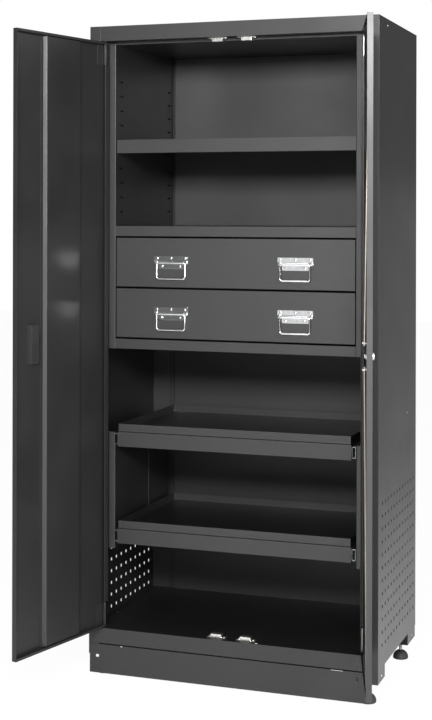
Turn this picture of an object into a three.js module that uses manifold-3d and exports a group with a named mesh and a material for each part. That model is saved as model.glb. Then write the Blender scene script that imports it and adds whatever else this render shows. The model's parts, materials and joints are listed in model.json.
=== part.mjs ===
// Tall two-door tool locker in folded sheet steel, shown with both doors open.
// Millimetres, +Z up, the front faces -Y. Left and right are as seen from the front.
// Everything is placed from the cabinet's middle, its front plane and the ground, and the
// finished group is moved so that the origin is under the middle of the whole object.
import * as THREE from 'three';
import { mergeGeometries, mergeVertices } from 'three/addons/utils/BufferGeometryUtils.js';
import Module from 'manifold-3d';

const wasm = await Module();
wasm.setup();

// Carcass
const WIDTH = 926;
const DEPTH = 511;
const HEIGHT = 2016;
const SHEET = 2;
const FIT = 0.3;              // gap between pieces that rest on each other
const POST_FACE = 36;         // width of each front post
const JAMB_DEPTH = 45;        // how far the posts and the rail fold back
const REAR_FLANGE = 63;
const BACK_SHEET = 1.5;
const BACK_FIELD = 383;       // half width of the raised field of the back
const BACK_RISE = 8;          // how far that field stands forward
const RAIL_HEIGHT = 46;
const CEILING_DROP = 8;       // ceiling below the edge of the rail
const SILL_BASE = 97.5;
const SILL_HEIGHT = 47;
const SILL_RETURN = 30;

// Legs, feet and kick plate
const LEG_BASE = 62;
const FRONT_LEG = 85;
const REAR_LEG = 105;
const REAR_LEG_SETBACK = 9;
const LEG_PLATE = 61;         // width of the folded plate that carries each foot
const FOOT_INSET = 38;        // from the outer wall to a foot's axis
const FRONT_FOOT = 33;        // from the front plane to the front feet's axis
const REAR_FOOT = 50;         // from the back to the rear feet's axis
const FOOT_DIAMETER = 49;
const FOOT_RIM = 4;
const FOOT_HEIGHT = 27;
const STUD_DIAMETER = 10;
const STUD_ABOVE_PLATE = 18;
const NUT_WIDTH = 17;
const NUT_HEIGHT = 8;
const KICK_BASE = 5;
const KICK_GAP = 3;           // between the kick plate and the sill
const KICK_SHEET = 1.5;
const KICK_LEFT_INSET = 4;
const KICK_RIGHT_INSET = 25;
const KICK_RETURN = 30;
// Slots of the kick plate: from its nearer end, and above its foot where they aren't at its top
const KICK_EYE = { inset: 26, rise: 53, width: 10, height: 8 };
const KICK_NOTCH = { inset: 107, width: 6, height: 6 };
const KICK_SLIT = { inset: 99, width: 36, height: 4 };
const KICK_HOOK = { inset: 37, rise: 67, width: 7, height: 15 };

// Square hole field in the side walls
const HOLE_SIZE = 10;
const HOLE_PITCH = 38;
const HOLE_COUNT = 12;        // columns, and rows
const HOLE_FRONT = 50.5;      // first column
const HOLE_LOW = 65.3;        // lowest row, above the underside of the wall

// Doors, measured closed
const DOOR_JAMB_GAP = 5;
const DOOR_SPLIT = 6;
const DOOR_TOP_GAP = 3.5;
const DOOR_BASE_GAP = 3.5;
const DOOR_DEPTH = 16;
const DOOR_SHEET = 1.2;
const HINGE_LIP = 18;
const END_LIP = 8;
const PIN_INSET = 8;          // from the door's hinge edge to the hinge pin
const PIN_DEPTH = 9;          // from the door's outer face to the hinge pin
const LEFT_SWING = THREE.MathUtils.degToRad(103.7);
const RIGHT_SWING = THREE.MathUtils.degToRad(106.6);
const HAT_WIDTH = 152;
const HAT_SLOPE = 6;
const HAT_FOOT = 11;
const HAT_RISE = 13;          // door's outer face to the top of the stiffener
const HAT_END_GAP = 10;

// Hinges
const HINGE_HEIGHT = 68;
const HINGE_LOW = 5;          // lower hinge above the foot of the door
const HINGE_TOP = 1.5;        // upper hinge below the top of the door
const HINGE_SHEET = 2;
const KNUCKLE_RADIUS = 4;
const HINGE_PIN_RADIUS = 2;
const PIN_HEAD = 3;
const DOOR_LEAF = 32;
const FRAME_LEAF = 20;
const HINGE_CLEARANCE = 4;    // from the door's sweep and round the hinge window

// Pull cup and lock
const CUP_FROM_EDGE = 81.5;   // middle of the cup to the door's free edge
const CUP_WIDTH = 33;
const CUP_HEIGHT = 114;
const CUP_DEPTH = 15;
const CUP_WALL = 1.6;
const CUP_RIM = 4;
const LOCK_FROM_EDGE = 82;
const LOCK_HEIGHT = 1052;
const LOCK_HEAD_RADIUS = 11;
const LOCK_HEAD = 8;
const LOCK_BARREL_RADIUS = 9;
const LOCK_PLUG_RADIUS = 6;
const LOCK_CASE_WIDTH = 32;
const LOCK_CASE_HEIGHT = 76;
const LOCK_CASE_BACK = 11;    // door's outer face to the back of the case
const CAM_LENGTH = 36;
const CAM_WIDTH = 12;
const CAM_THICKNESS = 3;
const CAM_GAP = 1.5;          // between the case and the cam
const GUIDE_REACH = 24.5;     // door's outer face to the end of the rod guides
const GUIDE_THICKNESS = 4;
const GUIDE_HALF_WIDTH = 8;
const ROD_RADIUS = 3.8;
const ROD_CLEARANCE = 0.8;
const ROD_START = 28;         // from the lock's axis to the inner end of a rod
const ROD_SHORT = 1;          // how far a drawn-back rod ends inside the door
const ROD_AT_LOCK = 18.5;     // door's outer face to a rod's axis, at the lock
const UPPER_ROD_AT_END = 6.5;
const LOWER_ROD_AT_END = 9.5;

// Catches
const CATCH_FROM_MIDDLE = 47;
const CATCH_WIDTH = 34;
const CATCH_FRONT = 17;
const CATCH_DEPTH = 20;
const CATCH_HEIGHT = 12;
const CATCH_BASE = 2;
const CATCH_EAR = 13;
const CATCH_SCREW_RADIUS = 3.5;

// Liners behind the upper doors, with the slots for the shelf
const LINER_SHEET = 1.5;
const LINER_INSET = 76;       // outer wall to the liner's inner face
const LINER_FRONT = 26;
const LINER_REAR_GAP = 9;     // to the raised field of the back
const LINER_FLANGE = 21;
const LINER_BASE = 1013;
const LINER_REAR_FOLD = 25;
const SLOT_START = 427;       // lowest slot above the foot of the liner
const SLOT_PITCH = 45.2;
const SLOT_HEAD = 110;        // least height left above the slots
const SLOT_LENGTH = 28;
const SLOT_HEIGHT = 5;
const SLOT_INSET = 47;        // slot's middle from the liner's front
const SLOT_REAR_INSET = 30;   // slot's middle from the liner's back

// Shelves
const SHELF_SHEET = 1.5;
const SHELF_SETBACK = 6;      // adjustable shelf behind the liner's front
const SHELF_GAP = 1.5;
const SHELF_LIP = 41.5;
const SHELF_LIP_RETURN = 18;
const SHELF_ROW = 4;          // slot that carries the adjustable shelf
const SHELF_RISE = 43.2;      // top of the shelf above its slot
const SHELF_SIDE = 48;
const TAB_PLAY = 0.5;
const TAB_REACH = 3;
const DRAWER_SHELF_LIP = 31;
const DRAWER_BASE_LIP = 30;
const FIXED_SHELF_SIDE = 25;
const FIXED_SHELF_SETBACK = 1.5;

// Drawers and their drop handles
const DRAWER_HEIGHT = 152.5;
const DRAWER_GAP = 5.2;
const DRAWER_SIDE_GAP = 2;
const DRAWER_SETBACK = 2;     // drawer front behind the liner's front
const DRAWER_SHEET = 1.2;
const DRAWER_RETURN = 16;
const TUB_SIDE_GAP = 15;
const TUB_LIFT = 12;          // floor of a drawer above the foot of its front
const TUB_HEIGHT = 118;
const TUB_REAR_GAP = 14;
const RUNNER_WIDTH = 28;
const RUNNER_SETBACK = 20;
const HANDLE_FROM_MIDDLE = 200;
const HANDLE_DROP = 55.5;     // top of the plate below the top of the drawer
const HANDLE_WIDTH = 112;
const HANDLE_BAND = 17;
const HANDLE_TONGUE = 84;
const HANDLE_HEIGHT = 39;
const HANDLE_SHEET = 1.2;
const ROLL_DROP = 20;         // axis of the rolled channel below the plate's top
const ROLL_LENGTH = 84;
const ROLL_WALL = 1.5;
const ROLL_STANDOFF = 3.9;
const BAIL_WIDTH = 99;
const BAIL_DROP = 53;         // axis of the bail to its lowest point
const BAIL_RADIUS = 2.8;
const BAIL_PIN = 14;
const BAIL_BEND = 8;
const RIVET_RADIUS = 3.6;
const RIVET_HEAD = 1.4;
const RIVET_EDGE = 8;

// Sliding trays and what carries them
const SUPPORT_SHEET = 1.5;
const SUPPORT_INSET = 74.4;
const SUPPORT_FRONT = 30;
const SUPPORT_FLANGE = 21.4;
const SUPPORT_BASE = 388;
const SUPPORT_DEPTH = 432;
const SUPPORT_UPRIGHT = 101;
const SUPPORT_PANEL = 166;    // width of the panel set back between the uprights
const SUPPORT_LAP = 8;        // how far that panel laps behind them
const SUPPORT_SHORT = 3.5;    // support's top below the upper tray's floor
const SUPPORT_REAR_FOLD = 20;
const LOWER_TRAY_SEAT = 65;
const UPPER_TRAY_SEAT = 366.5;
const TRAY_SHEET = 1.5;
const SLIDE_SPACE = 12.1;
const FRAME_FRONT = 20;
const FRAME_DEPTH = 462;
const FASCIA = 46;
const FRAME_FLANGE = 24;
const PAN_INSET = 2.2;
const PAN_HEIGHT = 24.5;
const SLIDE_HEIGHT = 35;
const SLIDE_LENGTH = 450;
const SLIDE_SHEET = 1.2;
const SLIDE_FRONT = 24;
const SLIDE_LIP_GAP = 1.5;
const SLIDE_BELOW_SEAT = 23.5;

// How finely round pieces are cut
const ROUND_SIDES = 16;
const SMALL_SIDES = 12;
const LOCK_SIDES = 24;
const NUT_SIDES = 6;
const DOME_STEPS = 6;
const BAIL_SIDES = 8;
const BAIL_STEPS = 52;        // along the wire, fine enough to keep its ends straight in the channel

// Places that follow from the sizes above
const half = WIDTH / 2;
const jamb = half - POST_FACE;
const innerWall = half - SHEET;
const wallTop = HEIGHT - SHEET - FIT;
const railBase = HEIGHT - RAIL_HEIGHT;
const ceiling = railBase - CEILING_DROP;
const sillTop = SILL_BASE + SILL_HEIGHT;
const backFieldFront = DEPTH - BACK_RISE;
const notchTop = SILL_BASE + SHEET;
const doorBase = sillTop + DOOR_BASE_GAP;
const doorTop = railBase - DOOR_TOP_GAP;
const doorWidth = jamb - DOOR_JAMB_GAP - DOOR_SPLIT / 2;
const pinX = jamb - DOOR_JAMB_GAP - PIN_INSET;
const hingeEdge = -PIN_INSET;
const freeEdge = doorWidth - PIN_INSET;
const skinInside = DOOR_SHEET - PIN_DEPTH;
const doorBack = DOOR_DEPTH - PIN_DEPTH;
const hingeHeights = [doorBase + HINGE_LOW, doorTop - HINGE_TOP - HINGE_HEIGHT];
const linerFace = half - LINER_INSET;
const linerRear = backFieldFront - LINER_REAR_GAP;
const linerTop = ceiling - FIT;
const drawerBaseTop = LINER_BASE + DRAWER_BASE_LIP + FIT;
const drawerFeet = [
  drawerBaseTop + DRAWER_GAP,
  drawerBaseTop + DRAWER_GAP * 2 + DRAWER_HEIGHT,
];
const drawerShelfTop = drawerFeet[1] + DRAWER_HEIGHT + DRAWER_GAP + DRAWER_SHELF_LIP;
const drawerFront = LINER_FRONT + DRAWER_SETBACK;
const shelfRear = linerRear - SHELF_SETBACK;
const slotRows = Math.floor((linerTop - SLOT_HEAD - LINER_BASE - SLOT_START) / SLOT_PITCH) + 1;
const slotDepths = [LINER_FRONT + SLOT_INSET, linerRear - SLOT_REAR_INSET];
const supportFace = half - SUPPORT_INSET;
const frameSide = supportFace - SLIDE_SPACE;
const traySeats = [SUPPORT_BASE + LOWER_TRAY_SEAT, SUPPORT_BASE + UPPER_TRAY_SEAT];

// Colours and finishes
const blackPaint = { color: 0x2b2c2e, roughness: 0.42, metalness: 0.2 };
const shelfPaint = { color: 0x333436, roughness: 0.45, metalness: 0.2 };
const zinc = { color: 0xa9a79f, roughness: 0.35, metalness: 0.9 };
const chrome = { color: 0xd8dadc, roughness: 0.12, metalness: 1 };
const rubber = { color: 0x1c1c1c, roughness: 0.85, metalness: 0 };
const blackPlastic = { color: 0x141415, roughness: 0.2, metalness: 0 };

// A closed three.js geometry as a solid that can be joined and cut
function solid(geometry) {
  geometry.deleteAttribute('normal');
  geometry.deleteAttribute('uv');
  const merged = mergeVertices(geometry);
  const vertProperties = new Float32Array(merged.attributes.position.array);
  const triVerts = new Uint32Array(merged.index.array);
  return new wasm.Manifold(new wasm.Mesh({ numProp: 3, vertProperties, triVerts }));
}

// Box between two corners, given in either order
function boxGeometry(x0, x1, y0, y1, z0, z1) {
  const geometry = new THREE.BoxGeometry(Math.abs(x1 - x0), Math.abs(y1 - y0), Math.abs(z1 - z0));
  return geometry.translate((x0 + x1) / 2, (y0 + y1) / 2, (z0 + z1) / 2);
}

function block(x0, x1, y0, y1, z0, z1) {
  return solid(boxGeometry(x0, x1, y0, y1, z0, z1));
}

function join(first, ...others) {
  return others.reduce((body, other) => body.add(other), first);
}

function cut(body, ...tools) {
  return tools.reduce((rest, tool) => rest.subtract(tool), body);
}

// Closed outline of a bent sheet: the path is one face, the thickness lies on its left
function fold(path, thickness) {
  const points = path.map(([x, y]) => new THREE.Vector2(x, y));
  const leftOf = (a, b) => new THREE.Vector2(a.y - b.y, b.x - a.x).normalize();
  const inner = points.map((point, i) => {
    const before = leftOf(points[Math.max(i - 1, 0)], points[Math.max(i, 1)]);
    const after = leftOf(points[Math.min(i, points.length - 2)], points[Math.min(i + 1, points.length - 1)]);
    const miter = before.clone().add(after).divideScalar(1 + before.dot(after));
    return point.clone().addScaledVector(miter, thickness);
  });
  return [...points, ...inner.reverse()];
}

function extruded(outline, length) {
  return new THREE.ExtrudeGeometry(new THREE.Shape(outline), { depth: length, bevelEnabled: false });
}

// A plan outline raised from z0 to z1, on the right (side 1) or mirrored to the left (side -1)
function raised(outline, side, z0, z1) {
  const plan = outline.map((point) => new THREE.Vector2(side * point.x, point.y));
  return solid(extruded(plan, z1 - z0).translate(0, 0, z0));
}

// A section in Y and Z drawn out along X
function drawnAcross(outline, x0, x1) {
  const turn = new THREE.Matrix4().makeBasis(
    new THREE.Vector3(0, 1, 0),
    new THREE.Vector3(0, 0, 1),
    new THREE.Vector3(1, 0, 0),
  );
  return solid(extruded(outline, x1 - x0).applyMatrix4(turn).translate(x0, 0, 0));
}

// A section in X and Z drawn out along Y
function drawnBack(outline, y0, y1) {
  const turn = new THREE.Matrix4().makeBasis(
    new THREE.Vector3(1, 0, 0),
    new THREE.Vector3(0, 0, 1),
    new THREE.Vector3(0, -1, 0),
  );
  return solid(extruded(outline, y1 - y0).applyMatrix4(turn).translate(0, y1, 0));
}

// A round bar between two points
function bar(from, to, radius, sides) {
  const along = new THREE.Vector3().subVectors(to, from);
  const turn = new THREE.Quaternion().setFromUnitVectors(
    new THREE.Vector3(0, 1, 0),
    along.clone().normalize(),
  );
  const middle = new THREE.Vector3().addVectors(from, to).multiplyScalar(0.5);
  const geometry = new THREE.CylinderGeometry(radius, radius, along.length(), sides);
  return solid(geometry.applyQuaternion(turn).translate(middle.x, middle.y, middle.z));
}

function upright(x, y, z0, z1, radius, sides) {
  return bar(new THREE.Vector3(x, y, z0), new THREE.Vector3(x, y, z1), radius, sides);
}

function level(x, z, y0, y1, radius, sides) {
  return bar(new THREE.Vector3(x, y0, z), new THREE.Vector3(x, y1, z), radius, sides);
}

function piece(name, body, finish) {
  const mesh = body.asOriginal().simplify().getMesh();
  const geometry = new THREE.BufferGeometry();
  geometry.setAttribute('position', new THREE.BufferAttribute(mesh.vertProperties, 3));
  geometry.setIndex(new THREE.BufferAttribute(mesh.triVerts, 1));
  geometry.computeVertexNormals();
  const made = new THREE.Mesh(geometry, new THREE.MeshStandardMaterial(finish));
  made.name = name;
  return made;
}

const PAST = 1;               // how far a cutting tool runs past what it cuts
const sideName = (side) => (side > 0 ? 'right' : 'left');

// Side panel: wall, front post, jamb and rear flange folded from one sheet
function sidePanel(side) {
  const rear = DEPTH - BACK_SHEET - FIT;
  const section = fold([
    [jamb, JAMB_DEPTH],
    [jamb, 0],
    [half, 0],
    [half, rear],
    [half - REAR_FLANGE, rear],
  ], SHEET);
  const body = raised(section, side, LEG_BASE, wallTop);
  const rearLegFront = DEPTH - REAR_LEG_SETBACK - REAR_LEG;
  const rearLegBack = DEPTH - REAR_LEG_SETBACK;
  const past = side * (half + PAST);
  const tools = [
    block(past, side * (innerWall - PAST), FRONT_LEG, rearLegFront, LEG_BASE - PAST, notchTop),
    block(past, side * (half - REAR_FLANGE - PAST), rearLegBack, DEPTH, LEG_BASE - PAST, SILL_BASE),
    block(side * (jamb - PAST), side * (jamb + SHEET + PAST), SHEET, DEPTH / 2, LEG_BASE - PAST, SILL_BASE),
  ];
  const holes = [];
  for (let column = 0; column < HOLE_COUNT; column += 1) {
    for (let row = 0; row < HOLE_COUNT; row += 1) {
      const y = HOLE_FRONT + column * HOLE_PITCH - HOLE_SIZE / 2;
      const z = notchTop + HOLE_LOW + row * HOLE_PITCH - HOLE_SIZE / 2;
      holes.push(boxGeometry(past, side * (innerWall - PAST), y, y + HOLE_SIZE, z, z + HOLE_SIZE));
    }
  }
  const platform = (y0, y1) => block(
    side * (innerWall + SHEET / 2), side * (innerWall - LEG_PLATE), y0, y1, LEG_BASE, LEG_BASE + SHEET);
  const studHole = (y) => upright(
    side * (half - FOOT_INSET), y, LEG_BASE - PAST, LEG_BASE + SHEET + PAST,
    STUD_DIAMETER / 2 + FIT, ROUND_SIDES);
  const folded = cut(body, ...tools, solid(mergeGeometries(holes)));
  const legs = join(folded, platform(SHEET / 2, FRONT_LEG), platform(rearLegFront, rearLegBack));
  const drilled = cut(legs, studHole(FRONT_FOOT), studHole(DEPTH - REAR_FOOT));
  return piece(`${sideName(side)}_side_panel`, drilled, blackPaint);
}

function backPanel() {
  const wide = half - SHEET / 2;
  const step = BACK_FIELD - BACK_SHEET;
  const section = fold([
    [wide, DEPTH],
    [step, DEPTH],
    [step, backFieldFront + BACK_SHEET],
    [-step, backFieldFront + BACK_SHEET],
    [-step, DEPTH],
    [-wide, DEPTH],
  ], BACK_SHEET);
  return piece('back_panel', raised(section, 1, SILL_BASE, wallTop), blackPaint);
}

// Where a rod meets the top or the foot of the closed right door, from the front plane
function rodHole(x, y, z) {
  return upright(x, y, z - SHEET - PAST, z + SHEET + PAST, ROD_RADIUS + ROD_CLEARANCE * 2, ROUND_SIDES);
}

// Top plate, front rail, its return and the ceiling folded from one sheet
function topPanel() {
  const section = fold([
    [DEPTH, HEIGHT],
    [0, HEIGHT],
    [0, railBase],
    [JAMB_DEPTH, railBase],
    [JAMB_DEPTH, ceiling],
    [backFieldFront - FIT, ceiling],
  ], SHEET);
  const under = HEIGHT - SHEET;
  const tools = [rodHole(DOOR_SPLIT / 2 + LOCK_FROM_EDGE, UPPER_ROD_AT_END, railBase + SHEET)];
  for (const side of [-1, 1]) {
    const past = side * (half + PAST);
    tools.push(block(past, side * (innerWall - FIT), -PAST, DEPTH + PAST, ceiling - PAST, under));
    tools.push(block(past, side * (jamb - FIT), -PAST, JAMB_DEPTH + SHEET + FIT, ceiling - PAST, under));
  }
  return piece('top_panel', cut(drawnAcross(section, -half, half), ...tools), blackPaint);
}

// Floor with the front sill and a fold at the back
function floorPanel() {
  const rear = backFieldFront - FIT;
  const section = fold([
    [rear, SILL_BASE],
    [rear, sillTop],
    [0, sillTop],
    [0, SILL_BASE],
    [SILL_RETURN, SILL_BASE],
  ], SHEET);
  const wide = innerWall - FIT;
  const tools = [rodHole(DOOR_SPLIT / 2 + LOCK_FROM_EDGE, LOWER_ROD_AT_END, sillTop)];
  for (const side of [-1, 1]) {
    const past = side * (half + PAST);
    tools.push(block(past, side * (jamb - FIT), -PAST, JAMB_DEPTH + FIT, SILL_BASE - PAST, sillTop + PAST));
  }
  return piece('floor_panel', cut(drawnAcross(section, -wide, wide), ...tools), blackPaint);
}

// Kick plate hung in front of the legs, a little to the left, with its hanging slots
function kickPlate() {
  const front = -FIT - KICK_SHEET;
  const top = SILL_BASE - KICK_GAP;
  const left = KICK_LEFT_INSET - half;
  const right = half - KICK_RIGHT_INSET;
  const section = fold([[KICK_RETURN, top], [front, top], [front, KICK_BASE]], KICK_SHEET);
  const slot = (x, z, { width, height }) => block(
    x - width / 2, x + width / 2, front - PAST, -FIT + PAST, z - height / 2, z + height / 2);
  const tools = [
    block(left - PAST, FIT - jamb, -FIT, KICK_RETURN + PAST, KICK_BASE, top + PAST),
    block(jamb - FIT, right + PAST, -FIT, KICK_RETURN + PAST, KICK_BASE, top + PAST),
    slot(left + KICK_EYE.inset, KICK_BASE + KICK_EYE.rise, KICK_EYE),
    slot(left + KICK_NOTCH.inset, top, KICK_NOTCH),
    slot(right - KICK_SLIT.inset, top, KICK_SLIT),
    slot(right - KICK_HOOK.inset, KICK_BASE + KICK_HOOK.rise, KICK_HOOK),
  ];
  return piece('kick_plate', cut(drawnAcross(section, left, right), ...tools), blackPaint);
}

// Levelling foot: rubber dome on a threaded stud, with its nut under the leg plate
function foot(side, y, place) {
  const x = side * (half - FOOT_INSET);
  const reach = LEG_BASE + SHEET + STUD_ABOVE_PLATE;
  const dome = new THREE.EllipseCurve(0, FOOT_RIM, FOOT_DIAMETER / 2, FOOT_HEIGHT - FOOT_RIM, 0, Math.PI / 2);
  const stud = STUD_DIAMETER / 2;
  const skirt = dome.getPoints(DOME_STEPS).filter((point) => point.x > stud);
  const profile = [
    new THREE.Vector2(0, 0),
    new THREE.Vector2(FOOT_DIAMETER / 2 - FOOT_RIM / 2, 0),
    ...skirt,
    new THREE.Vector2(stud, skirt[skirt.length - 1].y),
    new THREE.Vector2(stud, reach),
    new THREE.Vector2(0, reach),
  ];
  const turned = new THREE.LatheGeometry(profile, ROUND_SIDES).rotateX(Math.PI / 2).translate(x, y, 0);
  const nutTop = LEG_BASE - FIT;
  const nut = upright(x, y, nutTop - NUT_HEIGHT, nutTop, NUT_WIDTH / Math.sqrt(3), NUT_SIDES);
  return piece(`${place}_${sideName(side)}_foot`, join(solid(turned), nut), rubber);
}

// Door pan in its own frame: the hinge pin is the Z axis, hand 1 hangs on the left jamb
function doorPan(hand) {
  const x0 = hand * hingeEdge;
  const x1 = hand * freeEdge;
  const lip = doorBack - DOOR_SHEET;
  const outer = block(x0, x1, -PIN_DEPTH, doorBack, doorBase, doorTop);
  const hollow = block(
    x0 + hand * DOOR_SHEET, x1 - hand * DOOR_SHEET, skinInside, doorBack + PAST,
    doorBase + DOOR_SHEET, doorTop - DOOR_SHEET);
  const lips = [
    block(x0, x0 + hand * HINGE_LIP, lip, doorBack, doorBase, doorTop),
    block(x0, x1, lip, doorBack, doorBase, doorBase + END_LIP),
    block(x0, x1, lip, doorBack, doorTop - END_LIP, doorTop),
  ];
  const windows = hingeHeights.map((base) => block(
    x0 - hand * PAST, hand * (KNUCKLE_RADIUS + HINGE_CLEARANCE / 2), skinInside + FIT, doorBack + PAST,
    base - HINGE_CLEARANCE / 2, base + HINGE_HEIGHT + PIN_HEAD + HINGE_CLEARANCE / 2));
  return cut(join(cut(outer, hollow), ...lips), ...windows);
}

// Hat-section stiffener down the middle of a door
function stiffener(hand) {
  const middle = (hingeEdge + freeEdge) / 2;
  const crown = HAT_WIDTH / 2;
  const toe = crown + HAT_SLOPE + HAT_FOOT;
  const seat = skinInside + FIT;
  const top = HAT_RISE - PIN_DEPTH - DOOR_SHEET;
  const section = fold([
    [middle + toe, seat],
    [middle + crown + HAT_SLOPE, seat],
    [middle + crown, top],
    [middle - crown, top],
    [middle - crown - HAT_SLOPE, seat],
    [middle - toe, seat],
  ], -DOOR_SHEET);
  return raised(section, hand, doorBase + HAT_END_GAP, doorTop - HAT_END_GAP);
}

// The two ends of the hinge belong to the frame, the middle knuckle to the door
function knuckleSpans(base) {
  const third = HINGE_HEIGHT / 3;
  return {
    ends: [[base, base + third - FIT], [base + third * 2 + FIT, base + HINGE_HEIGHT]],
    middle: [base + third, base + third * 2],
  };
}

function doorLeaf(hand, base) {
  const [low, high] = knuckleSpans(base).middle;
  const seat = skinInside + FIT;
  const web = HINGE_SHEET;
  const plate = block(
    -hand * KNUCKLE_RADIUS, hand * DOOR_LEAF, seat, seat + HINGE_SHEET, base, base + HINGE_HEIGHT);
  const neck = block(-web, web, seat, -HINGE_PIN_RADIUS - FIT, low, high);
  const knuckle = upright(0, 0, low, high, KNUCKLE_RADIUS, ROUND_SIDES);
  const bore = upright(0, 0, low - PAST, high + PAST, HINGE_PIN_RADIUS + FIT, ROUND_SIDES);
  return cut(join(plate, neck, knuckle), bore);
}

function frameLeaf(side, base) {
  const pinY = PIN_DEPTH;
  const inward = -side;
  const x = side * pinX;
  const face = side * (jamb - FIT);
  const sweep = pinY + PIN_INSET + HINGE_CLEARANCE + HINGE_SHEET / 2;
  const top = base + HINGE_HEIGHT;
  const plate = block(face, face + inward * HINGE_SHEET, sweep, sweep + FRAME_LEAF, base, top);
  const crossing = block(face, x + inward * HINGE_SHEET / 2, sweep, sweep + HINGE_SHEET, base, top);
  const ends = knuckleSpans(base).ends.flatMap(([low, high]) => [
    upright(x, pinY, low, high, KNUCKLE_RADIUS, ROUND_SIDES),
    block(x - HINGE_SHEET / 2, x + HINGE_SHEET / 2, pinY + HINGE_PIN_RADIUS, sweep + HINGE_SHEET, low, high),
  ]);
  const pin = upright(x, pinY, base, top + PIN_HEAD, HINGE_PIN_RADIUS, ROUND_SIDES);
  const place = base === hingeHeights[0] ? 'lower' : 'upper';
  return piece(`${place}_${sideName(side)}_hinge_frame_leaf`, join(plate, crossing, ...ends, pin), zinc);
}

// Recessed pull: a moulded cup let through the left door from outside
function pullCup() {
  const middle = freeEdge - CUP_FROM_EDGE;
  const z = LOCK_HEIGHT;
  const box = (grow, y0, y1) => block(
    middle - CUP_WIDTH / 2 - grow, middle + CUP_WIDTH / 2 + grow, y0, y1,
    z - CUP_HEIGHT / 2 - grow, z + CUP_HEIGHT / 2 + grow);
  const bottom = CUP_DEPTH - PIN_DEPTH;
  const rim = box(CUP_RIM, -PIN_DEPTH - FIT - CUP_WALL, -PIN_DEPTH - FIT);
  const shell = box(0, -PIN_DEPTH - FIT - CUP_WALL, bottom);
  const recess = box(-CUP_WALL, -PIN_DEPTH - FIT - CUP_WALL - PAST, bottom - CUP_WALL);
  const hole = box(FIT, -PIN_DEPTH - PAST, skinInside + PAST);
  return { cup: cut(join(rim, shell), recess), hole };
}

const lockX = -(freeEdge - LOCK_FROM_EDGE);
const rodEnds = {
  upper: [
    new THREE.Vector3(lockX, ROD_AT_LOCK - PIN_DEPTH, LOCK_HEIGHT + ROD_START),
    new THREE.Vector3(lockX, UPPER_ROD_AT_END - PIN_DEPTH, doorTop - ROD_SHORT),
  ],
  lower: [
    new THREE.Vector3(lockX, ROD_AT_LOCK - PIN_DEPTH, LOCK_HEIGHT - ROD_START),
    new THREE.Vector3(lockX, LOWER_ROD_AT_END - PIN_DEPTH, doorBase + ROD_SHORT),
  ],
};

// A rod's axis drawn longer at both ends, as a tool for the holes that it runs in
function rodTool([from, to]) {
  const past = new THREE.Vector3().subVectors(to, from).setLength(ROD_RADIUS * 4);
  return bar(from.clone().sub(past), to.clone().add(past), ROD_RADIUS + ROD_CLEARANCE, ROUND_SIDES);
}

// Lock case with its round head outside the right door and a guide for each rod inside
function lockHousing() {
  const front = -PIN_DEPTH;
  const seat = skinInside + FIT;
  const back = LOCK_CASE_BACK - PIN_DEPTH;
  const head = level(lockX, LOCK_HEIGHT, front - LOCK_HEAD, front - FIT, LOCK_HEAD_RADIUS, LOCK_SIDES);
  const barrel = level(lockX, LOCK_HEIGHT, front - FIT - PAST, back, LOCK_BARREL_RADIUS, LOCK_SIDES);
  const top = LOCK_HEIGHT + LOCK_CASE_HEIGHT / 2;
  const foot = LOCK_HEIGHT - LOCK_CASE_HEIGHT / 2;
  const wide = LOCK_CASE_WIDTH / 2;
  const box = block(lockX - wide, lockX + wide, seat, back, foot, top);
  const guide = (z0, z1) => block(
    lockX - GUIDE_HALF_WIDTH, lockX + GUIDE_HALF_WIDTH, back - PAST, GUIDE_REACH - PIN_DEPTH, z0, z1);
  const guides = [guide(top - GUIDE_THICKNESS, top), guide(foot, foot + GUIDE_THICKNESS)];
  const bore = level(
    lockX, LOCK_HEIGHT, front - LOCK_HEAD - PAST, back + PAST, LOCK_PLUG_RADIUS + FIT, LOCK_SIDES);
  return cut(join(head, barrel, box, ...guides), bore, rodTool(rodEnds.upper), rodTool(rodEnds.lower));
}

// Turning plug with the cam on its inner end
function lockCam() {
  const camFront = LOCK_CASE_BACK - PIN_DEPTH + CAM_GAP;
  const camBack = camFront + CAM_THICKNESS;
  const plug = level(
    lockX, LOCK_HEIGHT, -PIN_DEPTH - LOCK_HEAD, camBack + CAM_THICKNESS, LOCK_PLUG_RADIUS, LOCK_SIDES);
  const cam = block(
    lockX - CAM_LENGTH / 2, lockX + CAM_LENGTH / 2, camFront, camBack,
    LOCK_HEIGHT - CAM_WIDTH / 2, LOCK_HEIGHT + CAM_WIDTH / 2);
  return join(plug, cam);
}

// A door with its hinges, turned open about its pins
function door(side, swing) {
  const hand = -side;
  const name = sideName(side);
  const group = new THREE.Group();
  group.position.set(side * pinX, PIN_DEPTH, 0);
  group.rotation.z = side * swing;
  let pan = doorPan(hand);
  if (side < 0) {
    const { cup, hole } = pullCup();
    pan = cut(pan, hole);
    group.add(piece('left_pull_cup', cup, blackPlastic));
  } else {
    const through = level(
      lockX, LOCK_HEIGHT, -PIN_DEPTH - PAST, skinInside + PAST, LOCK_BARREL_RADIUS + FIT, LOCK_SIDES);
    pan = cut(pan, through, rodTool(rodEnds.upper), rodTool(rodEnds.lower));
    group.add(piece('lock_housing', lockHousing(), chrome));
    group.add(piece('lock_cam', lockCam(), chrome));
    group.add(piece('upper_lock_rod', bar(...rodEnds.upper, ROD_RADIUS, SMALL_SIDES), zinc));
    group.add(piece('lower_lock_rod', bar(...rodEnds.lower, ROD_RADIUS, SMALL_SIDES), zinc));
  }
  group.add(piece(`${name}_door_pan`, pan, blackPaint));
  group.add(piece(`${name}_door_stiffener`, stiffener(hand), blackPaint));
  group.add(piece(`lower_${name}_hinge_door_leaf`, doorLeaf(hand, hingeHeights[0]), zinc));
  group.add(piece(`upper_${name}_hinge_door_leaf`, doorLeaf(hand, hingeHeights[1]), zinc));
  return group;
}

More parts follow.
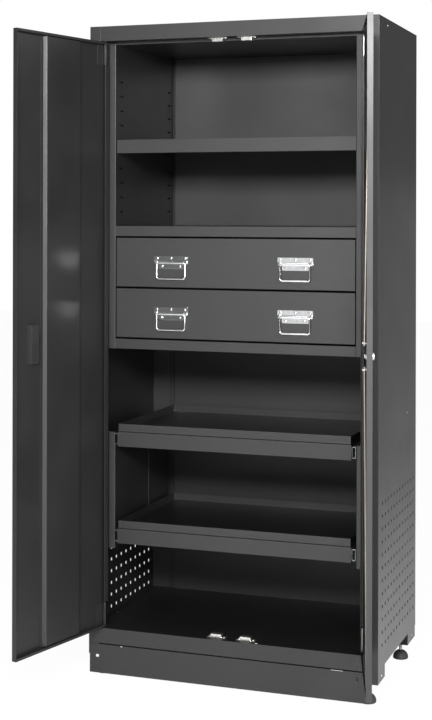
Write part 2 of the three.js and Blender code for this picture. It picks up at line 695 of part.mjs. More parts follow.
// Door catch: a base plate with two screws and the spring body that stands on it
function doorCatch(side, upper) {
  const seat = upper ? railBase - FIT : sillTop + FIT;
  const away = upper ? -1 : 1;
  const x = side * CATCH_FROM_MIDDLE;
  const wide = CATCH_WIDTH / 2;
  const rear = CATCH_FRONT + CATCH_DEPTH;
  const ear = wide + CATCH_EAR;
  const top = seat + away * CATCH_BASE;
  const parts = [
    block(x - ear, x + ear, CATCH_FRONT, rear, seat, top),
    block(x - wide, x + wide, CATCH_FRONT, rear, seat, seat + away * CATCH_HEIGHT),
  ];
  for (const end of [-1, 1]) {
    const screwX = x + end * (wide + CATCH_EAR / 2);
    const screwY = CATCH_FRONT + CATCH_DEPTH / 2;
    const rise = away * CATCH_SCREW_RADIUS / 2;
    const [low, high] = [top - away * CATCH_BASE / 2, top + rise].sort((a, b) => a - b);
    parts.push(upright(screwX, screwY, low, high, CATCH_SCREW_RADIUS, SMALL_SIDES));
  }
  return piece(`${upper ? 'upper' : 'lower'}_${sideName(side)}_catch`, join(...parts), zinc);
}

// Plan section shared by the liners and the tray supports: seat behind the jamb, front, wall
function liningSection(face, front, flange, rear, rearFold, sheet) {
  const seat = JAMB_DEPTH + FIT + sheet;
  return fold([
    [jamb + SHEET, seat],
    [face + flange, seat],
    [face + flange, front + sheet],
    [face + sheet, front + sheet],
    [face + sheet, rear],
    [face + sheet + rearFold, rear],
  ], sheet);
}

function liner(side) {
  const section = liningSection(
    linerFace, LINER_FRONT, LINER_FLANGE, linerRear, LINER_REAR_FOLD, LINER_SHEET);
  const body = raised(section, side, LINER_BASE, linerTop);
  const slots = [];
  for (const y of slotDepths) {
    for (let row = 0; row < slotRows; row += 1) {
      const z = LINER_BASE + SLOT_START + row * SLOT_PITCH;
      slots.push(boxGeometry(
        side * (linerFace - PAST), side * (linerFace + LINER_SHEET + PAST),
        y - SLOT_LENGTH / 2, y + SLOT_LENGTH / 2, z - SLOT_HEIGHT / 2, z + SLOT_HEIGHT / 2));
    }
  }
  const runners = drawerFeet.map((base) => block(
    side * (linerFace + LINER_SHEET / 2), side * (linerFace - RUNNER_WIDTH),
    LINER_FRONT + RUNNER_SETBACK, linerRear - RUNNER_SETBACK,
    base + TUB_LIFT - FIT - LINER_SHEET, base + TUB_LIFT - FIT));
  const slotted = cut(body, solid(mergeGeometries(slots)));
  return piece(`${sideName(side)}_liner`, join(slotted, ...runners), shelfPaint);
}

// A shelf folded down at the front and sides
function shelfBody(top, wide, front, lip, sideDrop) {
  const section = fold([
    [shelfRear, top],
    [front, top],
    [front, top - lip],
    [front + SHELF_LIP_RETURN, top - lip],
  ], SHELF_SHEET);
  const flanges = [-1, 1].map((side) => block(
    side * wide, side * (wide - SHELF_SHEET), front + SHELF_SHEET / 2, shelfRear, top - sideDrop, top));
  return join(drawnAcross(section, -wide, wide), ...flanges);
}

// Adjustable shelf, hung by four tabs in the slots of the liners
function adjustableShelf() {
  const slot = LINER_BASE + SLOT_START + SHELF_ROW * SLOT_PITCH;
  const wide = linerFace - SHELF_GAP;
  const body = shelfBody(slot + SHELF_RISE, wide, LINER_FRONT + SHELF_SETBACK, SHELF_LIP, SHELF_SIDE);
  const tabs = [-1, 1].flatMap((side) => slotDepths.map((y) => block(
    side * (wide - SHELF_SHEET / 2), side * (linerFace + LINER_SHEET + TAB_REACH),
    y - SLOT_LENGTH / 2 + TAB_PLAY, y + SLOT_LENGTH / 2 - TAB_PLAY,
    slot - SLOT_HEIGHT / 2 + FIT, slot + SLOT_HEIGHT / 2 - TAB_PLAY)));
  return piece('adjustable_shelf', join(body, ...tabs), shelfPaint);
}

function fixedShelf(name, top, lip) {
  const body = shelfBody(top, linerFace - FIT, LINER_FRONT + FIXED_SHELF_SETBACK, lip, FIXED_SHELF_SIDE);
  return piece(name, body, shelfPaint);
}

// Drawer: a folded front with an open tub behind it
function drawerBody(base) {
  const wide = linerFace - DRAWER_SIDE_GAP;
  const tub = linerFace - TUB_SIDE_GAP;
  const top = base + DRAWER_HEIGHT;
  const rear = shelfRear - TUB_REAR_GAP;
  const t = DRAWER_SHEET;
  const front = cut(
    block(-wide, wide, drawerFront, drawerFront + DRAWER_RETURN, base, top),
    block(t - wide, wide - t, drawerFront + t, drawerFront + DRAWER_RETURN + PAST, base + t, top - t));
  const floor = base + TUB_LIFT;
  const box = block(-tub, tub, drawerFront + t / 2, rear, floor, floor + TUB_HEIGHT);
  const inside = block(t - tub, tub - t, drawerFront + t, rear - t, floor + t, floor + TUB_HEIGHT + PAST);
  return join(front, cut(box, inside));
}

// Drop handle plate: riveted band, narrower tongue and the rolled channel that holds the bail
function handlePlate(x, top) {
  const back = drawerFront - FIT;
  const front = back - HANDLE_SHEET;
  const wide = HANDLE_WIDTH / 2;
  const tongue = HANDLE_TONGUE / 2;
  const axisZ = top - ROLL_DROP;
  const axisY = front - ROLL_STANDOFF;
  const parts = [
    block(x - wide, x + wide, front, back, top - HANDLE_BAND, top),
    block(x - tongue, x + tongue, front, back, top - HANDLE_HEIGHT, top - HANDLE_BAND + PAST),
    bar(
      new THREE.Vector3(x - ROLL_LENGTH / 2, axisY, axisZ),
      new THREE.Vector3(x + ROLL_LENGTH / 2, axisY, axisZ),
      BAIL_RADIUS + FIT + ROLL_WALL, ROUND_SIDES),
  ];
  const rivets = [
    [x - wide + RIVET_EDGE, top - RIVET_EDGE],
    [x, top - RIVET_EDGE],
    [x + wide - RIVET_EDGE, top - RIVET_EDGE],
    [x - tongue + RIVET_EDGE, top - HANDLE_HEIGHT + RIVET_EDGE],
    [x + tongue - RIVET_EDGE, top - HANDLE_HEIGHT + RIVET_EDGE],
  ];
  for (const [rivetX, rivetZ] of rivets) {
    parts.push(level(rivetX, rivetZ, front - RIVET_HEAD, back - HANDLE_SHEET / 2, RIVET_RADIUS, SMALL_SIDES));
  }
  const bore = bar(
    new THREE.Vector3(x - ROLL_LENGTH / 2 - PAST, axisY, axisZ),
    new THREE.Vector3(x + ROLL_LENGTH / 2 + PAST, axisY, axisZ),
    BAIL_RADIUS + FIT, ROUND_SIDES);
  return cut(join(...parts), bore);
}

// Bail: one bent wire with its ends turned in, hanging from the rolled channel
function bail(x, top) {
  const y = drawerFront - FIT - HANDLE_SHEET - ROLL_STANDOFF;
  const axisZ = top - ROLL_DROP;
  const leg = BAIL_WIDTH / 2 - BAIL_RADIUS;
  const low = axisZ - BAIL_DROP + BAIL_RADIUS;
  const bend = BAIL_BEND;
  const elbow = BAIL_RADIUS + FIT;
  const at = (dx, z) => new THREE.Vector3(x + dx, y, z);
  const route = new THREE.CurvePath();
  const line = (from, to) => route.add(new THREE.LineCurve3(from, to));
  const turn = (from, corner, to) => route.add(new THREE.QuadraticBezierCurve3(from, corner, to));
  line(at(BAIL_PIN - leg, axisZ), at(elbow - leg, axisZ));
  turn(at(elbow - leg, axisZ), at(-leg, axisZ), at(-leg, axisZ - elbow));
  line(at(-leg, axisZ - elbow), at(-leg, low + bend));
  turn(at(-leg, low + bend), at(-leg, low), at(bend - leg, low));
  line(at(bend - leg, low), at(leg - bend, low));
  turn(at(leg - bend, low), at(leg, low), at(leg, low + bend));
  line(at(leg, low + bend), at(leg, axisZ - elbow));
  turn(at(leg, axisZ - elbow), at(leg, axisZ), at(leg - elbow, axisZ));
  line(at(leg - elbow, axisZ), at(leg - BAIL_PIN, axisZ));
  const wire = new THREE.Shape().absarc(0, 0, BAIL_RADIUS, 0, Math.PI * 2);
  const options = {
    steps: BAIL_STEPS, curveSegments: BAIL_SIDES / 2, bevelEnabled: false, extrudePath: route,
  };
  return solid(new THREE.ExtrudeGeometry(wire, options));
}

// One drawer with two drop handles
function drawer(base, name) {
  const group = new THREE.Group();
  const top = base + DRAWER_HEIGHT - HANDLE_DROP;
  group.add(piece(`${name}_drawer`, drawerBody(base), shelfPaint));
  for (const side of [-1, 1]) {
    const x = side * HANDLE_FROM_MIDDLE;
    group.add(piece(`${name}_${sideName(side)}_handle_plate`, handlePlate(x, top), chrome));
    group.add(piece(`${name}_${sideName(side)}_bail`, bail(x, top), chrome));
  }
  return group;
}

// Support for the tray slides: two uprights, and a panel lapped behind the window between them
function traySupport(side) {
  const rear = SUPPORT_FRONT + SUPPORT_DEPTH;
  const section = liningSection(
    supportFace, SUPPORT_FRONT, SUPPORT_FLANGE, rear, SUPPORT_REAR_FOLD, SUPPORT_SHEET);
  const body = raised(section, side, SUPPORT_BASE, traySeats[1] - SUPPORT_SHORT);
  const windowFront = SUPPORT_FRONT + SUPPORT_UPRIGHT;
  const window = (x0, x1, lap) => block(
    side * x0, side * x1, windowFront - lap, windowFront + SUPPORT_PANEL + lap,
    traySeats[0] - lap, traySeats[1] - FASCIA + lap);
  const opening = window(supportFace - PAST, supportFace + SUPPORT_SHEET + PAST, 0);
  const panel = window(supportFace + SUPPORT_SHEET - FIT, supportFace + SUPPORT_SHEET * 2, SUPPORT_LAP);
  return piece(`${sideName(side)}_tray_support`, join(cut(body, opening), panel), shelfPaint);
}

// Both members of a tray slide: a channel on the support, and the one that runs inside it
function slideMembers(side, seat) {
  const middle = seat - SLIDE_BELOW_SEAT;
  const tall = SLIDE_HEIGHT / 2;
  const outside = supportFace - FIT;
  const inside = frameSide + FIT;
  const mirrored = (outline) => outline.map((point) => new THREE.Vector2(side * point.x, point.y));
  const channelLip = inside + SLIDE_SHEET + SLIDE_LIP_GAP;
  const channel = fold([
    [channelLip, middle - tall],
    [outside, middle - tall],
    [outside, middle + tall],
    [channelLip, middle + tall],
  ], SLIDE_SHEET);
  const run = tall - SLIDE_SHEET - FIT;
  const runnerLip = outside - SLIDE_SHEET - SLIDE_LIP_GAP;
  const runner = fold([
    [runnerLip, middle + run],
    [inside, middle + run],
    [inside, middle - run],
    [runnerLip, middle - run],
  ], SLIDE_SHEET);
  const rear = SLIDE_FRONT + SLIDE_LENGTH;
  return {
    channel: drawnBack(mirrored(channel), SLIDE_FRONT, rear),
    runner: drawnBack(mirrored(runner), SLIDE_FRONT, rear),
  };
}

// Carrier frame of a tray: fascia all round, open below, with a ledge for the pan
function trayFrame(seat) {
  const t = TRAY_SHEET;
  const rear = FRAME_FRONT + FRAME_DEPTH;
  const top = seat - FIT;
  const ledge = t + FRAME_FLANGE;
  return cut(
    block(-frameSide, frameSide, FRAME_FRONT, rear, seat - FASCIA, top),
    block(t - frameSide, frameSide - t, FRAME_FRONT + t, rear - t, seat - FASCIA - PAST, top - t),
    block(
      ledge - frameSide, frameSide - ledge, FRAME_FRONT + ledge, rear - ledge, top - t - PAST, top + PAST));
}

function trayPan(seat) {
  const t = TRAY_SHEET;
  const wide = frameSide - PAN_INSET;
  const front = FRAME_FRONT + PAN_INSET;
  const rear = FRAME_FRONT + FRAME_DEPTH - PAN_INSET;
  return cut(
    block(-wide, wide, front, rear, seat, seat + PAN_HEIGHT),
    block(t - wide, wide - t, front + t, rear - t, seat + t, seat + PAN_HEIGHT + PAST));
}

function tray(seat, name) {
  const group = new THREE.Group();
  group.add(piece(`${name}_tray_pan`, trayPan(seat), shelfPaint));
  group.add(piece(`${name}_tray_frame`, trayFrame(seat), shelfPaint));
  for (const side of [-1, 1]) {
    const { channel, runner } = slideMembers(side, seat);
    group.add(piece(`${name}_${sideName(side)}_slide_channel`, channel, zinc));
    group.add(piece(`${name}_${sideName(side)}_slide_runner`, runner, zinc));
  }
  return group;
}

const locker = new THREE.Group();
locker.add(backPanel(), topPanel(), floorPanel(), kickPlate());
for (const side of [-1, 1]) {
  locker.add(sidePanel(side), liner(side), traySupport(side));
  locker.add(foot(side, FRONT_FOOT, 'front'), foot(side, DEPTH - REAR_FOOT, 'rear'));
  locker.add(doorCatch(side, true), doorCatch(side, false));
  hingeHeights.forEach((base) => locker.add(frameLeaf(side, base)));
}
locker.add(door(-1, LEFT_SWING), door(1, RIGHT_SWING));
locker.add(adjustableShelf());
locker.add(fixedShelf('drawer_shelf', drawerShelfTop, DRAWER_SHELF_LIP));
locker.add(fixedShelf('drawer_base', drawerBaseTop, DRAWER_BASE_LIP));
locker.add(drawer(drawerFeet[0], 'lower'), drawer(drawerFeet[1], 'upper'));
locker.add(tray(traySeats[0], 'lower'), tray(traySeats[1], 'upper'));

// The origin goes under the middle of the object as it stands, doors open
locker.updateMatrixWorld(true);
const middle = new THREE.Box3().setFromObject(locker).getCenter(new THREE.Vector3());
locker.position.set(-middle.x, -middle.y, 0);

export default locker;
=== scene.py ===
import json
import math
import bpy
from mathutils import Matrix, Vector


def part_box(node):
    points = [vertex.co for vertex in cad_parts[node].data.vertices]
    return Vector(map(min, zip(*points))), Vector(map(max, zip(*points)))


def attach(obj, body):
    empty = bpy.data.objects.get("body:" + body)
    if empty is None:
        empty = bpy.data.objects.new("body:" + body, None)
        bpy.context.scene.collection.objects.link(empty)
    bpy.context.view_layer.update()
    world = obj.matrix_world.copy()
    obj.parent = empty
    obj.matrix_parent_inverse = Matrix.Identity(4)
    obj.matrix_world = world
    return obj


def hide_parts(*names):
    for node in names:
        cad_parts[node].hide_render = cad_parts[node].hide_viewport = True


bl_info = {
    "name": "Tool Locker Looks",
    "version": (1, 0, 0),
    "blender": (4, 5, 0),
    "location": "View3D > Sidebar > Locker",
    "description": "Dresses the packed tool locker with bent sheet, plated fittings and a white studio",
    "category": "Object",
}

import bmesh
import bpy
from bpy.props import FloatProperty, FloatVectorProperty, IntProperty, PointerProperty
from mathutils import Matrix, Vector

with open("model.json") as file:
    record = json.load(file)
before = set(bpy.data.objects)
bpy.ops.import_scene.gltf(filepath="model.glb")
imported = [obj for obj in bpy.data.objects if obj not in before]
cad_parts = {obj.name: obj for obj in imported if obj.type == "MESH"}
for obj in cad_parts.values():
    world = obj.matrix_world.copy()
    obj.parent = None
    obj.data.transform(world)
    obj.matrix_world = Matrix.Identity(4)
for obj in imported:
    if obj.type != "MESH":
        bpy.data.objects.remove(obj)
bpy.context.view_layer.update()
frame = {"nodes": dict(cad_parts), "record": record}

RECORD = frame["record"]
BODY_OF = {node: body for body, nodes in RECORD["behaviour"]["bodies"].items() for node in nodes}
JOINTS = {joint["name"]: joint for joint in RECORD["behaviour"]["joints"]}

MM = 0.001
MERGE = 1e-6          # vertices closer than this are one
MIRROR_MERGE = 1e-5   # and those that meet at the middle of a mirrored piece
FLAT_TURN = 1.0       # degrees: faces this close to level with each other are one
FOLD_TURN = 20.0      # degrees: a sharper edge than this is a bend or a rim
BROAD = 4.5 * MM      # a face wider than this is the side of a sheet and not its cut edge
SMOOTH_TURN = 40.0    # degrees: a sharper edge than this stays sharp in the shading

CABINET = Vector((-9.9792, -59.5177, 0)) * MM   # middle of the cabinet's front plane
WALL_SCREWS = ((463, 106.6, 1996), (463, 377.5, 806), (463, 454, 79), (463, 44, 77))   # mm from CABINET
FLOOR_SCREWS = ((-446, 177.4, 144.5),)
KICK_TAB = (401, 5, 78.1)         # mm from CABINET, behind the right slot of the kick plate
KICK_TAB_SIZE = (22, 1.5, 29.2)   # mm

RIM_STEPS = 2         # segments across the small rounds
CASE_STEPS = 3        # and across those of the pull and the lock case
CORNER_STEPS = 5      # segments round the corner of a handle plate
ROUND_PROFILE = 0.5   # a bevel of this profile is a quarter circle
ROLL_SIDES = 28       # segments round the rolled channel
WIRE_SIDES = 16       # and round the bail's wire
WIRE_STEPS = 8        # segments round a bend of the wire
SCREW_MESH = (16, 8)  # segments round and over a head
RIVET_MESH = (18, 10)
SWELL_MESH = (20, 10)
FOOT_SIDES = 40       # segments round a foot
FOOT_STEPS = 12       # segments up the dome of a foot
STUD_SIDES = 20       # segments round a stud
NUT_SIDES = 6

SLANT_START = 0.45    # the powder coat looks smoother from this slant
SLANT_END = 0.78      # and smoothest from here
NOISE_LOW = 0.3       # the noise textures mostly lie between these
NOISE_HIGH = 0.7
COAT_CLOUDS = 6.0     # scales of the noise, per metre
COAT_PEEL = 420.0
PLATING_MARKS = 900.0
PLATING_CLOUDS = 60.0
COAT_CLOUD_DETAIL = 3.0
FINE_DETAIL = 2.0
MARK_STRETCH = (1.0, 1.0, 0.15)
COAT_TINT = (0.94, 1.06)      # how far the clouds darken and lighten a finish
PLATING_TINT = (0.9, 1.05)
COAT_SPREAD = 0.04            # how far the roughness wanders to each side
PLATING_SPREAD = 0.06
CHROME_SPREAD = 0.02
RUBBER_SPREAD = 0.08
PLASTIC_SPREAD = 0.03
COAT_RELIEF = 0.1 * MM        # depth of the relief
PLATING_RELIEF = 0.02 * MM
CHROME_RELIEF = 0.005 * MM
PLASTIC_RELIEF = 0.04 * MM
RELIEF_STRENGTH = 0.25
GRAIN_INPUTS = (("Low Gloss", "NodeSocketFloat", 0.3), ("High Gloss", "NodeSocketFloat", 0.4))
GRAIN_OUTPUTS = (
    ("Tint", "NodeSocketFloat"), ("Roughness", "NodeSocketFloat"), ("Relief", "NodeSocketFloat"))
METAL = 1.0
NO_METAL = 0.0
SENSOR = 36           # mm
FLOOR_HALF = 14       # metres from the middle of the floor to its edge
FLOOR_ROUGHNESS = 0.8
WHITE = (1, 1, 1, 1)
LAMPS = ("key", "front", "soft_box", "side", "top", "rear")

SIDES = ("left", "right")
LEVELS = ("lower", "upper")


class LockerFinishes(bpy.types.PropertyGroup):
    """Colours and surfaces."""

    paint: FloatVectorProperty(
        name="Paint", description="Powder coat of the carcass and the doors",
        subtype="COLOR", size=3, min=0.0, max=1.0, default=(0.003, 0.003, 0.003))
    shelf_paint: FloatVectorProperty(
        name="Shelf Paint", description="Powder coat of the shelves, drawers and trays",
        subtype="COLOR", size=3, min=0.0, max=1.0, default=(0.003, 0.003, 0.003))
    paint_roughness: FloatProperty(
        name="Paint Roughness", description="Roughness of the powder coat",
        subtype="FACTOR", min=0.0, max=1.0, default=0.60)
    slant_share: FloatProperty(
        name="Slant Roughness", description="Share of the roughness that is left when seen aslant",
        subtype="FACTOR", min=0.0, max=1.0, default=0.55)
    paint_gloss: FloatProperty(
        name="Paint Gloss", description="Strength of the smoother gloss over the powder coat",
        subtype="FACTOR", min=0.0, max=1.0, default=0.12)
    gloss_roughness: FloatProperty(
        name="Gloss Roughness", description="Roughness of the gloss over the powder coat",
        subtype="FACTOR", min=0.0, max=1.0, default=0.2)
    zinc: FloatVectorProperty(
        name="Zinc", description="Plating of the catches, the lock, the screws and the studs",
        subtype="COLOR", size=3, min=0.0, max=1.0, default=(0.62, 0.61, 0.58))
    slide: FloatVectorProperty(
        name="Slides", description="Duller plating of the tray slides and the hinges' knuckles",
        subtype="COLOR", size=3, min=0.0, max=1.0, default=(0.24, 0.24, 0.235))
    rod: FloatVectorProperty(
        name="Rods", description="Yellow plating of the lock rods",
        subtype="COLOR", size=3, min=0.0, max=1.0, default=(0.26, 0.235, 0.20))
    chrome: FloatVectorProperty(
        name="Chrome", description="Plating of the drop handles",
        subtype="COLOR", size=3, min=0.0, max=1.0, default=(0.78, 0.79, 0.80))
    rubber: FloatVectorProperty(
        name="Rubber", description="Rubber of the levelling feet",
        subtype="COLOR", size=3, min=0.0, max=1.0, default=(0.016, 0.016, 0.017))
    plastic: FloatVectorProperty(
        name="Plastic", description="Recessed pull of the left door",
        subtype="COLOR", size=3, min=0.0, max=1.0, default=(0.016, 0.016, 0.0175))
    zinc_roughness: FloatProperty(
        name="Zinc Roughness", description="Roughness of the zinc plating",
        subtype="FACTOR", min=0.0, max=1.0, default=0.3)
    slide_roughness: FloatProperty(
        name="Slide Roughness", description="Roughness of the duller plating",
        subtype="FACTOR", min=0.0, max=1.0, default=0.34)
    rod_roughness: FloatProperty(
        name="Rod Roughness", description="Roughness of the rods' plating",
        subtype="FACTOR", min=0.0, max=1.0, default=0.42)
    chrome_roughness: FloatProperty(
        name="Chrome Roughness", description="Roughness of the chrome",
        subtype="FACTOR", min=0.0, max=1.0, default=0.06)
    rubber_roughness: FloatProperty(
        name="Rubber Roughness", description="Roughness of the rubber",
        subtype="FACTOR", min=0.0, max=1.0, default=0.7)
    plastic_roughness: FloatProperty(
        name="Plastic Roughness", description="Roughness of the plastic",
        subtype="FACTOR", min=0.0, max=1.0, default=0.16)


class LockerSheets(bpy.types.PropertyGroup):
    """How the folded sheets are bent and trimmed."""

    carcass_bend: FloatProperty(
        name="Carcass Bend", description="Outside radius of the bends of the carcass",
        unit="LENGTH", min=0.0002, max=0.01, default=2.6 * MM)
    door_bend: FloatProperty(
        name="Door Bend", description="Outside radius of the bends of the doors",
        unit="LENGTH", min=0.0002, max=0.01, default=1.8 * MM)
    hat_bend: FloatProperty(
        name="Stiffener Bend", description="Outside radius of the bends of the door stiffeners",
        unit="LENGTH", min=0.0002, max=0.01, default=2.6 * MM)
    shelf_bend: FloatProperty(
        name="Shelf Bend", description="Outside radius of the bends of shelves, drawers and trays",
        unit="LENGTH", min=0.0002, max=0.01, default=2.0 * MM)
    inner_share: FloatProperty(
        name="Inner Share", description="Inside radius of a bend as a share of its outside radius",
        subtype="FACTOR", min=0.05, max=1.0, default=0.3)
    rim: FloatProperty(
        name="Rim", description="Rounding of the cut edges",
        unit="LENGTH", min=0.0, max=0.002, default=0.35 * MM)
    slide_bend: FloatProperty(
        name="Slide Bend", description="Outside radius of the bends of the tray slides",
        unit="LENGTH", min=0.0002, max=0.01, default=0.8 * MM)
    bend_steps: IntProperty(
        name="Bend Steps", description="Segments across a bend", min=1, max=12, default=4)


class LockerFittings(bpy.types.PropertyGroup):
    """Sizes of the small fittings."""

    plate_height: FloatProperty(
        name="Plate Height", description="Height of a handle plate", unit="LENGTH", default=39 * MM)
    plate_band: FloatProperty(
        name="Plate Band", description="Height of the wide upper part of a handle plate",
        unit="LENGTH", default=17 * MM)
    plate_tongue: FloatProperty(
        name="Plate Tongue", description="Width of the lower part of a handle plate",
        unit="LENGTH", default=84 * MM)
    plate_sheet: FloatProperty(
        name="Plate Sheet", description="Thickness of a handle plate", unit="LENGTH", default=1.2 * MM)
    plate_corner: FloatProperty(
        name="Plate Corner", description="Corner radius of a handle plate", unit="LENGTH", default=3.5 * MM)
    roll_radius: FloatProperty(
        name="Roll Radius", description="Outside radius of the rolled channel",
        unit="LENGTH", default=4.7 * MM)
    roll_bore: FloatProperty(
        name="Roll Bore", description="Inside radius of the rolled channel", unit="LENGTH", default=3.2 * MM)
    roll_length: FloatProperty(
        name="Roll Length", description="Length of the rolled channel", unit="LENGTH", default=84 * MM)
    knuckle_reach: FloatProperty(
        name="Knuckle Reach", description="What lies this close to a hinge's pin is plated",
        unit="LENGTH", default=4.6 * MM)
    screw_radius: FloatProperty(
        name="Screw Radius", description="Radius of the small screw heads", unit="LENGTH", default=3.2 * MM)
    screw_height: FloatProperty(
        name="Screw Height", description="Height of the small screw heads", unit="LENGTH", default=1.4 * MM)
    rivet_radius: FloatProperty(
        name="Rivet Radius", description="Radius of a rivet head", unit="LENGTH", default=3.6 * MM)
    rivet_height: FloatProperty(
        name="Rivet Height", description="Height of a rivet head", unit="LENGTH", default=1.5 * MM)
    swell_radius: FloatProperty(
        name="Swell Radius", description="Radius of the swellings at the ends of the channel",
        unit="LENGTH", default=5.5 * MM)
    swell_height: FloatProperty(
        name="Swell Height", description="Height of those swellings", unit="LENGTH", default=0.9 * MM)
    swell_spread: FloatProperty(
        name="Swell Spread", description="Middle of the plate to the swellings",
        unit="LENGTH", default=50 * MM)
    swell_rise: FloatProperty(
        name="Swell Rise", description="Bail's axis to the middle of a swelling",
        unit="LENGTH", default=1 * MM)
    plate_rim: FloatProperty(
        name="Plate Rim", description="Rounding of a handle plate's front edges",
        unit="LENGTH", default=0.35 * MM)
    rivet_spread: FloatProperty(
        name="Rivet Spread", description="Middle of the plate to its outer rivets",
        unit="LENGTH", default=46 * MM)
    rivet_lift: FloatProperty(
        name="Rivet Lift", description="Middle of the band to the upper rivets",
        unit="LENGTH", default=1.5 * MM)
    tongue_spread: FloatProperty(
        name="Tongue Spread", description="Middle of the plate to the lower rivets",
        unit="LENGTH", default=30 * MM)
    tongue_rise: FloatProperty(
        name="Tongue Rise", description="Foot of the plate to the lower rivets",
        unit="LENGTH", default=7.5 * MM)
    bail_radius: FloatProperty(
        name="Bail Radius", description="Radius of the bail's wire", unit="LENGTH", default=2.8 * MM)
    bail_width: FloatProperty(
        name="Bail Width", description="Width over the bail", unit="LENGTH", default=99 * MM)
    bail_drop: FloatProperty(
        name="Bail Drop", description="Bail's axis to its lowest point", unit="LENGTH", default=53 * MM)
    bail_bend: FloatProperty(
        name="Bail Bend", description="Bend radius at the middle of the wire", unit="LENGTH", default=8 * MM)
    bail_pin: FloatProperty(
        name="Bail Pin", description="Length of each end of the bail in the channel",
        unit="LENGTH", default=14 * MM)
    foot_radius: FloatProperty(
        name="Foot Radius", description="Radius of a levelling foot", unit="LENGTH", default=24.5 * MM)
    foot_height: FloatProperty(
        name="Foot Height", description="Height of the rubber of a foot", unit="LENGTH", default=27 * MM)
    foot_rim: FloatProperty(
        name="Foot Rim", description="Straight rim at the ground", unit="LENGTH", default=4 * MM)
    stud_radius: FloatProperty(
        name="Stud Radius", description="Outside radius of a foot's thread", unit="LENGTH", default=5 * MM)
    thread_pitch: FloatProperty(
        name="Thread Pitch", description="Height of one turn of the thread", unit="LENGTH", default=1.5 * MM)
    foot_round: FloatProperty(
        name="Foot Round", description="Rounding of the rubber at the ground",
        unit="LENGTH", default=1.5 * MM)
    stud_sink: FloatProperty(
        name="Stud Sink", description="How deep the stud stands in the rubber",
        unit="LENGTH", default=2 * MM)
    thread_share: FloatProperty(
        name="Thread Depth", description="Depth of the thread as a share of its pitch", default=0.6)
    nut_top: FloatProperty(
        name="Nut Top", description="Ground to the top of the nut", unit="LENGTH", default=61.7 * MM)
    nut_rim: FloatProperty(
        name="Nut Rim", description="Rounding of the nut", unit="LENGTH", default=0.6 * MM)
    pull_rim: FloatProperty(
        name="Pull Rim", description="Rounding of the left door's pull", unit="LENGTH", default=1.4 * MM)
    hinge_rim: FloatProperty(
        name="Hinge Rim", description="Rounding of the hinge leaves", unit="LENGTH", default=0.3 * MM)
    catch_rim: FloatProperty(
        name="Catch Rim", description="Rounding of the door catches", unit="LENGTH", default=0.6 * MM)
    lock_rim: FloatProperty(
        name="Lock Rim", description="Rounding of the lock case", unit="LENGTH", default=0.8 * MM)
    cam_rim: FloatProperty(
        name="Cam Rim", description="Rounding of the lock's cam", unit="LENGTH", default=0.4 * MM)
    rod_rim: FloatProperty(
        name="Rod Rim", description="Rounding of the lock rods", unit="LENGTH", default=0.5 * MM)
    nut_width: FloatProperty(
        name="Nut Width", description="Nut across its flats", unit="LENGTH", default=17 * MM)
    nut_height: FloatProperty(
        name="Nut Height", description="Height of the nut", unit="LENGTH", default=8 * MM)


